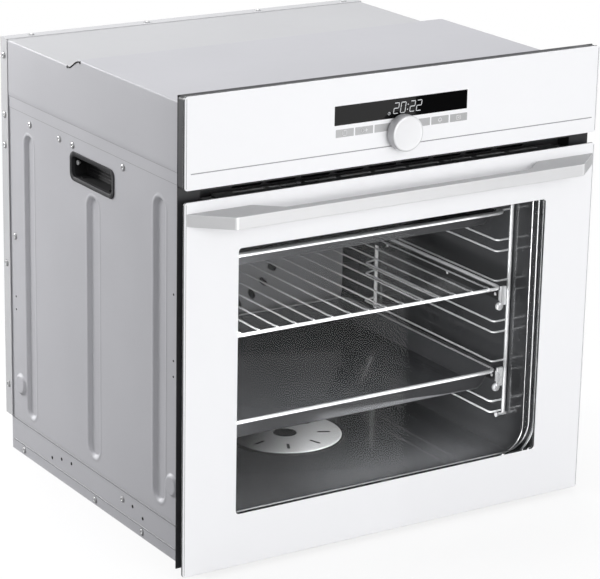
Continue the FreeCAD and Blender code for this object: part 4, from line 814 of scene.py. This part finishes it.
def grid_lines(low, high, coarse, dense, fine):
    """Grid positions: coarse everywhere, fine inside each dense span, none closer than half a fine step."""
    wanted = [low, high]
    step = (high - low) / math.ceil((high - low) / coarse)
    wanted += [low + step * n for n in range(math.ceil((high - low) / step))]
    for a, b in dense:
        count = max(1, math.ceil((b - a) / fine))
        wanted += [a + (b - a) * n / count for n in range(count + 1)]
    kept = []
    for value in sorted(v for v in wanted if low <= v <= high):
        if not kept or value - kept[-1] > 0.45 * fine:
            kept.append(value)
    return kept


def side_panel(side, name):
    x_face = side * limits("side_panel_right")[1]
    front, rear = limits(name)[2], limits(name)[3]
    low, high = limits(name)[4], 492.0
    y_spans = [(m - w / 2 - LIP_WIDTH - 1, m + w / 2 + LIP_WIDTH + 1) for m, w, _, _ in RIBS]
    y_spans += [(y - r - 1, y + r + 1) for y, _, r in DIMPLES]
    z_spans = [(a - LIP_WIDTH - 1, a + w / 2 + 2) for _, w, a, _ in RIBS]
    z_spans += [(b - w / 2 - 2, b + LIP_WIDTH + 1) for _, w, _, b in RIBS]
    z_spans += [(z - r - 1, z + r + 1) for _, z, r in DIMPLES]
    ys = grid_lines(front, rear, 14.0, y_spans, 1.15)
    zs = grid_lines(low, high, 14.0, z_spans, 1.5)
    gy0, gy1, gz0, gz1 = GRIP_OPENING
    ys = snapped(ys, (gy0, gy1))
    zs = snapped(zs, (gz0, gz1))
    part = Mesh()
    rows = [part.add([(x_face + side * relief_at(y, z), y, z) for y in ys]) for z in zs]
    for j in range(len(zs) - 1):
        for i in range(len(ys) - 1):
            if gy0 - 0.1 < ys[i] and ys[i + 1] < gy1 + 0.1 and gz0 - 0.1 < zs[j] and zs[j + 1] < gz1 + 0.1:
                continue
            quad = (rows[j][i], rows[j][i + 1], rows[j + 1][i + 1], rows[j + 1][i])
            part.faces.append(quad if side > 0 else quad[::-1])
    obj = part.make(name + "_pressed", "sheet", slot="galvanised_sheet", stands_for=[name], soft_angle=60)
    facing = obj.data.polygons[0].normal.x * side
    return thicken(obj, facing > 0)


def snapped(values, targets):
    """The values with the nearest ones moved onto the targets."""
    values = list(values)
    for target in targets:
        nearest = min(range(len(values)), key=lambda n: abs(values[n] - target))
        values[nearest] = target
    return sorted(values)


side_panel(1, "side_panel_right")
side_panel(-1, "side_panel_left")

# ---------------------------------------------------------------- top cover
TX0, TX1, TOP_FRONT_Y, TOP_REAR_Y, SKIRT_LOW, TOP_HIGH = limits("top_cover")
TOP_LOW, STEP_START, STEP_END = 563.0, 303.0, 331.0
TURN = 1.8


def top_height(y):
    return TOP_LOW + (TOP_HIGH - TOP_LOW) * (1 - smooth_step((y - STEP_START) / (STEP_END - STEP_START)))


part = Mesh()
sections = grid_lines(TOP_FRONT_Y, TOP_REAR_Y, 24.0, [(STEP_START - 4, STEP_END + 4)], 2.0)
rings = []
for y in sections:
    z = top_height(y)
    right = [(TX1 - TURN + TURN * math.cos(a), z - TURN + TURN * math.sin(a))
             for a in [math.radians(15 * n) for n in range(7)]]
    across = [(TX1 * f, z) for f in (0.75, 0.5, 0.25, 0.0, -0.25, -0.5, -0.75)]
    section = [(TX1, SKIRT_LOW), (TX1, SKIRT_LOW + 8), (TX1, z - 12)] + right + across
    section += [(-x, h) for x, h in reversed(right)] + [(TX0, z - 12), (TX0, SKIRT_LOW + 8), (TX0, SKIRT_LOW)]
    rings.append(part.add([(x, y, h) for x, h in section]))
for a, b in zip(rings, rings[1:]):
    part.bridge(a, b, closed=False)
top = part.make("top_cover_pressed", ["sheet", "sheet_roof_lit"], slot="galvanised_sheet",
                stands_for=["top_cover"], soft_angle=50)
# Painted light: roof faces behind the step take the lighter copy of the sheet.
recolour(top, lambda normal, centre: 1 if centre.y - GLASS_Y > (STEP_START + 6) * MM and abs(normal.z) > 0.5 else 0)
middle = max(top.data.polygons, key=lambda f: f.center.z)
thicken(top, middle.normal.z > 0)

# Painted shade: a dark S-shaped seam at each end of the step.
for side in (-1, 1):
    word = "left" if side < 0 else "right"
    part = Mesh()
    seam = [(side * (TX1 - 0.15), y, top_height(y) - 2.2) for y in
            [STEP_START - 3 + n * (STEP_END - STEP_START + 6) / 16 for n in range(17)]]
    part.wire(seam, 1.05, sides=8)
    for y in (STEP_START - 3, STEP_END + 3):
        part.lathe([(-0.4 * side, 2.0), (0.3 * side, 1.9), (0.55 * side, 1.0)],
                   (side * (TX1 - 0.1), y, top_height(y) - 2.4), axis="X", count=16)
    part.make("step_seam_" + word, "hole", slot="galvanised_sheet")
# Pan-head screws with a driver recess, in place of the plain ones.
WRAP_SCREWS = [(510.0, 541.0), (510.0, 462.0), (510.0, 421.0), (510.0, 260.0), (510.0, 90.0)]
TOP_SCREWS = [(-235.0, 510.0), (-63.0, 510.0), (110.0, 510.0), (250.0, 510.0)]
HEAD = [(-0.2, 4.7), (0.12, 4.7), (0.15, 4.1), (0.5, 4.1), (1.1, 3.7), (1.55, 2.9), (1.7, 1.9), (1.2, 1.4),
        (0.7, 0.5)]
part = Mesh()
for side in (-1, 1):
    sheet, wrap = side * limits("side_panel_right")[1], side * limits("rear_cover")[1]
    profile = [(side * along, radius) for along, radius in HEAD]
    for y, z in SIDE_SCREWS:
        part.lathe(profile, (sheet, y, z), axis="X", count=20)
    for y, z in WRAP_SCREWS:
        part.lathe(profile, (wrap, y, z), axis="X", count=20)
for x, y in TOP_SCREWS:
    part.lathe(HEAD, (x, y, limits("rear_cover")[5]), axis="Z", count=20)
heads = part.make("casing_screw_heads", ["screw", "line"], slot="zinc_screws", stands_for=["casing_screws"],
                  soft_angle=40)
# Faces 1.4 to 1.8 mm across, on the outer rim and shoulder of each head, take the darker grey of the line material.
for n, face in enumerate(heads.data.polygons):
    corners = [heads.data.vertices[v].co for v in face.vertices]
    reach = max((a - b).length for a in corners for b in corners)
    face.material_index = 1 if 0.0014 < reach < 0.0018 else 0

# A second sheet line below the skirt, and the small holes in the base.
part = Mesh()
for side in (-1, 1):
    x = side * (limits("side_panel_right")[1])
    part.skin([[(x - side * 0.2, y, 475.0), (x + side * 0.45, y, 475.0), (x + side * 0.45, y, 490.6),
                (x - side * 0.2, y, 490.6)] for y in (18.0, 501.0)])
part.make("skirt_lap", "sheet", slot="galvanised_sheet", soft_angle=10)
part = Mesh()
for side in (-1, 1):
    x = side * (limits("side_panel_right")[1])
    for proud, z0, z1 in ((0.6, 489.3, 490.0), (0.2, 474.3, 475.0)):
        part.skin([[(x - side * 0.2, y, z0), (x + side * proud, y, z0), (x + side * proud, y, z1),
                    (x - side * 0.2, y, z1)] for y in (18.2, 500.8)])
part.make("skirt_shadow_gap", "fold", slot="galvanised_sheet", soft_angle=10)

HOLES = [(388.0, 24.0), (361.0, 31.0), (333.5, 34.0), (169.0, 33.0), (143.0, 26.0)]
PANEL_HOLES = [(488.0, 201.0), (488.0, 219.0), (68.0, 236.0), (68.0, 256.0), (68.0, 339.0)]
# Dark discs stand in for the small holes in the sheet: painted shade.
part = Mesh()
for side in (-1, 1):
    face = side * limits("side_panel_right")[1]
    for y, z in HOLES:
        part.lathe([(-0.3 * side, 2.3), (0.12 * side, 2.3), (0.12 * side, 2.2)], (face, y, z), axis="X", count=20)
    for y, z in PANEL_HOLES:
        part.lathe([(-0.3 * side, 1.5), (0.12 * side, 1.5), (0.12 * side, 1.4)], (face, y, z), axis="X", count=16)
part.make("casing_hole_shade", "hole", slot="galvanised_sheet")

# A folded lower edge along the base, coloured darker as painted shade.
part = Mesh()
for side in (-1, 1):
    x = side * limits("base_pan")[1]
    part.skin([[(x, y, 13.2), (x + side * 0.7, y, 13.9), (x + side * 0.7, y, 14.9), (x, y, 15.4)]
               for y in (18.0, 500.0)])
    part.skin([[(x, y, 44.6), (x + side * 0.8, y, 45.2), (x + side * 0.8, y, 46.6), (x, y, 47.0)]
               for y in (18.0, 501.0)])
part.make("base_folds", "fold", slot="galvanised_sheet")

# ---------------------------------------------------------------- carry grips
def grip(side, part):
    """A moulded pocket with a rounded bezel, sloping mouth and finger ribs."""
    face = limits("side_panel_right")[1]
    y0, y1, z0, z1 = GRIP_FRONT, GRIP_REAR, GRIP_LOW, GRIP_HIGH
    depth = 23.0

    def ring(inset, out, radius):
        return [(side * (face + out), y, z)
                for y, z in corner_loop(y0 + inset, y1 - inset, z0 + inset, z1 - inset, radius, steps=7)]

    rings = [ring(0.2, 0.0, 9.5), ring(0.0, 0.8, 9.5), ring(0.6, 1.5, 9.2), ring(4.6, 1.5, 7.0),
             ring(5.6, 1.0, 6.6), ring(6.0, -3.0, 6.0), ring(6.6, -depth + 3.5, 5.5),
             ring(9.0, -depth + 1.8, 4.5), ring(30.0 if z1 - z0 > 62 else 12.0, -depth + 1.6, 3.0)]
    back = [ring(6.0, -depth + 0.4, 5.5), ring(4.4, -depth + 3.0, 6.0), ring(4.4, 0.0, 6.0)]
    laid = [part.add(r) for r in rings]
    for a, b in zip(laid, laid[1:]):
        part.bridge(a, b)
    part.cap(laid[-1])
    rear = [part.add(r) for r in back]
    part.cap(rear[0])
    for a, b in zip(rear, rear[1:]):
        part.bridge(a, b)
    part.bridge(rear[-1], laid[0])


part = Mesh()
for side in (-1, 1):
    grip(side, part)
pockets = part.make("carry_grip_pockets", ["black_plastic", "hole"], slot="black_plastic",
                    stands_for=["carry_grips"], soft_angle=45)
# Painted shade: faces deeper than the bezel take the near black of the gaps.
recolour(pockets, lambda normal, centre: 0 if abs(centre.x) > (limits("side_panel_right")[1] - 1.6) * MM else 1)
part = Mesh()
for side in (-1, 1):
    face = side * limits("side_panel_right")[1]
    for n in range(5):
        z = GRIP_LOW + 11.0 + 4.2 * n
        part.wire([(face - side * 20.8, GRIP_FRONT + 14, z), (face - side * 20.8, GRIP_REAR - 14, z)], 0.7, sides=8)
    for y in (GRIP_FRONT + 22, GRIP_REAR - 22):
        part.wire([(face - side * 20, y, GRIP_LOW + 6.4), (face - side * 4, y, GRIP_LOW + 6.4)], 1.1, sides=8)
part.make("carry_grip_ribs", "black_plastic", slot="black_plastic")
part = Mesh()
for side in (-1, 1):
    face = side * limits("side_panel_right")[1]
    for y in (GRIP_REAR - 7.5,):
        part.lathe([(-side * 9.0, 1.0), (-side * 5.0, 3.4), (-side * 4.2, 3.2), (-side * 3.6, 1.6)],
                   (face, y - 3.0, GRIP_HIGH - 15.0), axis="X", count=20)
part.make("carry_grip_screws", "screw", slot="zinc_screws")

# ---------------------------------------------------------------- cavity mouth and seal
CAV_HALF, CAV_LOW, CAV_HIGH, CAV_CORNER = 240.0, 53.0, 434.0, 34.0
MOUTH_Y = limits("cavity_shell")[2]


def mouth_loop(grow, sill=0.0):
    """A loop round the cavity mouth, grown outwards, with its lower run raised to the sill."""
    return corner_loop(-CAV_HALF - grow, CAV_HALF + grow, CAV_LOW + sill - grow, CAV_HIGH + grow,
                       CAV_CORNER + grow, steps=10)


def mouth_ring(part, offset, profile, sill=0.0):
    """A ring round the cavity mouth; profile is (sideways, y) points of a closed section."""
    laid = [part.add([(x, y, z) for x, z in mouth_loop(offset + side, sill)]) for side, y in profile]
    for n in range(len(laid)):
        part.bridge(laid[n], laid[(n + 1) % len(laid)])


def bulb_profile(width, y0, y1, steps=10):
    """A D-shaped section: flat at the back, round to the front."""
    return [(width * math.cos(math.pi * n / steps), y1 + (y0 - y1) * math.sin(math.pi * n / steps))
            for n in range(steps + 1)]


part = Mesh()
mouth_ring(part, 14.6, bulb_profile(4.2, MOUTH_Y - 4.8, MOUTH_Y - 0.02))
part.make("door_seal", "rubber", slot="gasket_rubber", stands_for=["door_gasket"], soft_angle=50)
SILL = 7.5
part = Mesh()
part.plate(mouth_loop(3.0), MOUTH_Y - 0.9, MOUTH_Y - 0.1, mouth_loop(0.2, SILL))
part.make("mouth_sill", "enamel", slot="cavity_enamel")
# Near-white beads and a flat ring round the mouth: painted highlight standing in for light caught by the rounded
# edges.
part = Mesh()
for offset, width, rise in ((1.3, 0.9, 1.9), (10.0, 0.9, 2.9)):
    mouth_ring(part, offset, bulb_profile(width, MOUTH_Y - rise, MOUTH_Y - 0.02), sill=SILL)
mouth_ring(part, -0.2, [(0.15 * side - 0.55 + 0.55 * abs(side), MOUTH_Y + 9.2 + 0.85 * side) for side in (-1, 0, 1)],
           sill=0.4)
part.make("mouth_beads", "bead", slot="cavity_enamel", soft_angle=50)

# Painted shade: dark bottoms of the slots and of the middle well in the floor disc, and a dark ring round its rim.
part = Mesh()
disc_x, disc_y = (DISC[0] + DISC[1]) / 2, (DISC[2] + DISC[3]) / 2
for n in range(8):
    turn = math.radians(-27 - 45 * n)
    flat = [(disc_x + u * math.cos(turn) - v * math.sin(turn), disc_y + u * math.sin(turn) + v * math.cos(turn))
            for u, v in corner_loop(42.7, 60.3, -1.8, 1.8, 1.75, steps=5)]
    part.skin([[(x, y, z) for x, y in flat] for z in (CAV_LOW + 0.1, CAV_LOW + 2.45)])
part.lathe([(0.9, 15.6), (1.9, 15.6), (2.1, 15.0), (2.1, 8.0), (1.7, 7.2), (1.7, 2.0)],
           (disc_x, disc_y, CAV_LOW), axis="Z", count=40)
disc_r = (DISC[1] - DISC[0]) / 2
laid = [part.add([(x, y, CAV_LOW + up) for x, y in circle(disc_x, disc_y, disc_r + out, 72)])
        for out, up in ((-0.6, 0.2), (-0.6, 1.7), (2.2, 1.7), (3.0, 0.0))]
for n in range(4):
    part.bridge(laid[n], laid[(n + 1) % 4])
part.make("disc_slot_shade", "hole", slot="cavity_enamel", soft_angle=40)

# ---------------------------------------------------------------- racks, shelf and trays
RX0, RX1, RACK_Y0, RACK_Y1, RACK_Z0, RACK_Z1 = limits("side_racks")
WIRE_X, BAR_X, RACK_FRONT, RACK_REAR = 214.0, 236.0, 84.5, 389.0
WIRE_R, BAR_R, LEVELS, PAIR = 1.3, 2.6, [97.0 + 55.0 * n for n in range(6)], 15.0
part = Mesh()
for side in (-1, 1):
    for level in LEVELS:
        for z in (level, level + PAIR):
            path = [(side * (BAR_X + 1.4), RACK_FRONT, z), (side * WIRE_X, RACK_FRONT, z),
                    (side * WIRE_X, RACK_REAR - 6, z), (side * (BAR_X + 1.0), RACK_REAR, z)]
            part.wire(bent(path, 5.0), WIRE_R, sides=12)
    for y in (RACK_FRONT, RACK_REAR):
        part.wire([(side * BAR_X, y, RACK_Z0), (side * BAR_X, y, RACK_Z0 + 0.6), (side * BAR_X, y, RACK_Z1 - 0.6),
                   (side * BAR_X, y, RACK_Z1)], BAR_R, sides=16)
part.make("rack_ladders", "chrome", slot="chrome_wire", stands_for=["side_racks"], soft_angle=40)

SX0, SX1, SHELF_Y0, SHELF_Y1, SHELF_Z0, SHELF_Z1 = limits("wire_shelf")
FRAME_R, GRID_R = 2.2, 1.3
SHELF_Z = SHELF_Z0 + FRAME_R
part = Mesh()
frame_half = SX1 - FRAME_R
front_bar, rear_bar = SHELF_Y0 + FRAME_R, SHELF_Y1 - FRAME_R
part.wire(bent([(-frame_half, front_bar, SHELF_Z), (frame_half, front_bar, SHELF_Z),
                (frame_half, rear_bar, SHELF_Z), (-frame_half, rear_bar, SHELF_Z)], 9.0, closed=True),
          FRAME_R, sides=14, closed=True)
part.make("shelf_frame", "chrome", body="upper_carriage", slot="chrome_wire", stands_for=["wire_shelf"],
          soft_angle=40)
part = Mesh()
for n in range(-7, 8):
    x = 26.4 * n
    top_z = SHELF_Z1 - GRID_R
    path = [(x, front_bar - 2.9, top_z - 1.6), (x, front_bar - 2.1, top_z + 0.6), (x, front_bar + 1.4, top_z + 0.9),
            (x, front_bar + 6.0, top_z), (x, rear_bar - 6.0, top_z), (x, rear_bar - 1.4, top_z + 0.9),
            (x, rear_bar + 2.1, top_z + 0.6), (x, rear_bar + 2.9, top_z - 1.6)]
    part.wire(path, GRID_R, sides=10)
part.make("shelf_wires", "shelf", body="upper_carriage", slot="chrome_wire", stands_for=["wire_shelf"],
          soft_angle=40)


def pressed_tray(name, stands_for, body):
    """A tray with round corners, sloping walls, a rolled rim and a shallow step in its floor."""
    x0, x1, y0, y1, z0, z1 = limits(stands_for)
    rim = 6.5 if "baking" in stands_for else 10.0
    sheet = 1.2
    taper = 5.0

    def ring(inset, z, radius):
        return [(x, y, z) for x, y in corner_loop(x0 + inset, x1 - inset, y0 + inset, y1 - inset, radius, steps=8)]

    inner_floor = z0 + sheet
    side_lip = 3.2 if "baking" in stands_for else 1.0

    def rolled(inset, share, radius):
        """One line of the rolled rim, deep in front, and no deeper at the sides than the racks allow."""
        return [(x, y, z1 - share * (3.2 if y < y0 + 3.5 else side_lip)) for x, y, _ in ring(inset, z1, radius)]

    rings = [rolled(1.6, 0.9, 13), rolled(0.6, 1.0, 14), rolled(0.0, 0.62, 14), rolled(0.4, 0.19, 14),
             ring(1.6, z1, 13), ring(rim - 2.0, z1, 11), ring(rim - 0.3, z1 - 0.5, 10),
             ring(rim + 0.6, z1 - 1.8, 10), ring(rim + taper - 0.8, inner_floor + 3.4, 16),
             ring(rim + taper + 1.0, inner_floor + 1.0, 15), ring(rim + taper + 3.8, inner_floor, 14),
             ring(rim + taper + 20, inner_floor, 12), ring(rim + taper + 22, inner_floor + 1.1, 11)]
    under = [ring(rim + taper + 22, z0 + 1.4, 11), ring(rim + taper + 20.5, z0 + 0.2, 12),
             ring(rim + taper + 4.4, z0, 14), ring(rim + taper + 1.4, z0 + 0.6, 15),
             ring(rim + taper - 0.6, z0 + 3.0, 16), ring(rim - 0.9, z1 - 2.2, 10), ring(rim - 2.0, z1 - 1.1, 11),
             ring(2.0, z1 - 1.1, 13)]
    part = Mesh()
    top_rings = [part.add(r) for r in rings]
    for a, b in zip(top_rings, top_rings[1:]):
        part.bridge(a, b)
    part.cap(top_rings[-1])
    low_rings = [part.add(r) for r in under]
    part.cap(low_rings[0])
    for a, b in zip(low_rings, low_rings[1:]):
        part.bridge(a, b)
    part.bridge(low_rings[-1], top_rings[0])
    obj = part.make(name, ["tray", "tray_rim", "tray_side", "rim_top"], body=body, slot="tray_enamel", stands_for=[stands_for],
                    soft_angle=60)

    def tray_look(normal, centre):
        """Painted highlight on the rim sides, a dimmer one on its top, and painted shade on the front walls."""
        x, y, z = centre.x / MM, (centre.y - GLASS_Y) / MM, centre.z / MM
        inside = x0 + rim < x < x1 - rim and y0 + rim < y < y1 - rim
        if z > z1 - 3.2 and not inside and normal.z > -0.9:
            return 3 if z > z1 - 0.15 else 1
        return 2 if normal.z < 0.3 and y < y0 + 40 and normal.y < -0.3 else 0

    recolour(obj, tray_look)
    return obj


pressed_tray("deep_tray", "baking_tray", "lower_carriage")
pressed_tray("flat_tray", "shallow_tray", "top_tray")

# Rivets on the rail bodies and rounded clips under the front posts.
for word, body, node_name in (("upper", "upper_carriage", "rails_upper_slide"),
                              ("lower", "lower_carriage", "rails_lower_slide")):
    x0, x1, y0, y1, z0, z1 = limits(node_name)
    rivets, clips = Mesh(), Mesh()
    for side in (-1, 1):
        for y in (y0 + 14, y0 + 120, y0 + 260):
            rivets.lathe([(0.0, 2.2), (-side * 0.5, 2.1), (-side * 0.9, 1.3), (-side * 1.0, 0.3)],
                         (side * 203.0, y, (z0 + z1) / 2 - 1), axis="X", count=20)
        clips.lathe([(-3.2, 1.0), (-3.0, 3.4), (-2.2, 5.0), (0.8, 5.4), (1.6, 4.8)],
                    (side * 203.2, y0 + 5.0, z0 - 2.6), axis="Y", count=28)
    rivets.make("rail_rivets_" + word, "rail", body=body, slot="rail_steel")
    clips.make("rail_clips_" + word, "rail", body=body, slot="rail_steel", soft_angle=50)

# The bulb shines through its lens.
part = Mesh()
LX0, LX1, LY0, LY1, LZ0, LZ1 = limits("lamp_lens")
lamp_x, lamp_y = (LX0 + LX1) / 2, (LY0 + LY1) / 2
part.lathe([(2.0, 1.0), (1.0, 5.2), (-1.0, 7.2), (-3.0, 6.0), (-4.0, 3.0), (-4.4, 0.5)],
           (lamp_x, lamp_y, LZ1 + 4.5), axis="Z", count=24)
part.make("lamp_glow", "bulb", slot="lamp_ceramic")

# ---------------------------------------------------------------- stage, light and camera
floor_mesh = bpy.data.meshes.new("studio_floor")
half = 12.0
floor_mesh.from_pydata([(-half, -half, 0), (half, -half, 0), (half, half, 0), (-half, half, 0)], [],
                       [(0, 1, 2, 3)])
studio_floor = bpy.data.objects.new("studio_floor", floor_mesh)
studio_floor.location.z = -0.0002
bpy.context.scene.collection.objects.link(studio_floor)
floor_mat = surface("pale_floor", (0.93, 0.93, 0.935), 0.9, vary=0.004, patch=1.0, bump=0.0)
tree = floor_mat.node_tree
bsdf, out = tree.nodes["Principled BSDF"], tree.nodes["Material Output"]
spot = tree.nodes.new("ShaderNodeTexCoord")
reach = node(tree, "ShaderNodeVectorMath")
reach.operation = "LENGTH"
link(tree, spot.outputs["Object"], reach.inputs[0])
white = node(tree, "ShaderNodeEmission", Color=(1, 1, 1, 1), Strength=1.0)
dim = node(tree, "ShaderNodeBsdfDiffuse", Color=(0.42, 0.42, 0.42, 1))
path = tree.nodes.new("ShaderNodeLightPath")
far = tree.nodes.new("ShaderNodeMixShader")
link(tree, ranged(tree, reach.outputs["Value"], 0.82, 1.0, 0.42, 0.75), far.inputs[0])
link(tree, bsdf.outputs["BSDF"], far.inputs[1])
link(tree, white.outputs["Emission"], far.inputs[2])
seen = tree.nodes.new("ShaderNodeMixShader")
link(tree, path.outputs["Is Camera Ray"], seen.inputs[0])
link(tree, dim.outputs["BSDF"], seen.inputs[1])
link(tree, far.outputs["Shader"], seen.inputs[2])
link(tree, seen.outputs["Shader"], out.inputs["Surface"])
floor_mesh.materials.append(floor_mat)
studio_floor.visible_glossy = False
studio_floor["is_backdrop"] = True

world = bpy.data.worlds.new("studio")
bpy.context.scene.world = world
world.use_nodes = True
tree = world.node_tree
tree.nodes.clear()
coords = tree.nodes.new("ShaderNodeTexCoord")
parts_of = node(tree, "ShaderNodeSeparateXYZ", Vector=coords.outputs["Generated"])
sky = blend_colours(tree, ranged(tree, parts_of.outputs["Z"], 0.0, 1.0, -0.12, 0.06),
                    (0.10, 0.10, 0.10, 1.0), (0.55, 0.555, 0.57, 1.0))
path = tree.nodes.new("ShaderNodeLightPath")
seen = blend_colours(tree, path.outputs["Is Camera Ray"], sky, (1.0, 1.0, 1.0, 1.0))
glow = node(tree, "ShaderNodeBackground", Color=seen, Strength=1.0)
out = tree.nodes.new("ShaderNodeOutputWorld")
link(tree, glow.outputs["Background"], out.inputs["Surface"])


def lamp(name, place, aim, size, power, colour=(1, 1, 1), height=None):
    light = bpy.data.lights.new(name, "AREA")
    light.energy = power
    light.color = colour
    light.size = size
    if height:
        light.shape = "RECTANGLE"
        light.size_y = height
    obj = bpy.data.objects.new(name, light)
    obj.location = place
    obj.rotation_euler = (Vector(aim) - Vector(place)).to_track_quat("-Z", "Y").to_euler()
    bpy.context.scene.collection.objects.link(obj)
    return obj


# Reflected in the left part of the glass front; its edge gives the upright boundary there.
lamp("mirror_softbox", (0.55, GLASS_Y - 2.0, -0.35), (0.55, GLASS_Y, -0.35), 1.76, 29.0, height=2.6)
lamp("front_softbox", (0.0, -3.8, 1.25), (0, 0, 0.3), 3.0, 57.0, height=2.4)
lamp("top_softbox", (0.2, 0.9, 3.2), (0, 0.1, 0.5), 2.2, 48.0)
lamp("left_softbox", (-1.0, 1.5, 0.85), (-0.27, 0.24, 0.3), 0.55, 25.0)
CAVITY_LIGHTS = [("cavity_light", (0, 36, 240), (0, 400, 240), 0.40, 0.33, 0.95),
                 ("upper_light", (0, 76, 318), (0, 400, 318), 0.40, 0.064, 0.10),
                 ("middle_light", (-60, 76, 222), (60, 400, 222), 0.30, 0.084, 0.22),
                 ("lower_light", (70, 60, 112), (60, 300, 40), 0.26, 0.07, 0.42),
                 ("side_light", (-212, 60, 250), (240, 230, 230), 0.06, 0.28, 0.75),
                 ("mouth_light_right", (234, 22, 240), (245, 36, 240), 0.01, 0.34, 0.045),
                 ("mouth_light_left", (-234, 22, 240), (-245, 36, 240), 0.01, 0.34, 0.03),
                 ("mouth_light_low", (0, 22, 70), (0, 36, 57), 0.40, 0.01, 0.03)]
for name, place, aim, width, height, power in CAVITY_LIGHTS:
    light = lamp(name, at(*place), at(*aim), width, power, height=height)
    light.visible_camera = False

camera = bpy.data.cameras.new("camera")
camera.sensor_width = 36.0
camera.lens = 155.4
camera.clip_start, camera.clip_end = 0.1, 60.0
view = bpy.data.objects.new("camera", camera)
bpy.context.scene.collection.objects.link(view)
YAW, PITCH, ROLL = math.radians(-32.66), math.radians(17.61), math.radians(1.127)
to_image = (Matrix.Rotation(ROLL, 3, "Z") @ Matrix.Rotation(PITCH, 3, "X") @ Matrix.Rotation(YAW, 3, "Y")
            @ Matrix(((1, 0, 0), (0, 0, -1), (0, 1, 0))))
axes = Matrix((to_image[0], -to_image[1], -to_image[2])).transposed()
view.matrix_world = Matrix.Translation(at(-1718.9, -2464.7, 1273.0)) @ axes.to_4x4()
bpy.context.scene.camera = view
bpy.context.scene.view_settings.view_transform = "Standard"
bpy.context.scene.view_settings.look = "None"

# ---------------------------------------------------------------- size
low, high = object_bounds()
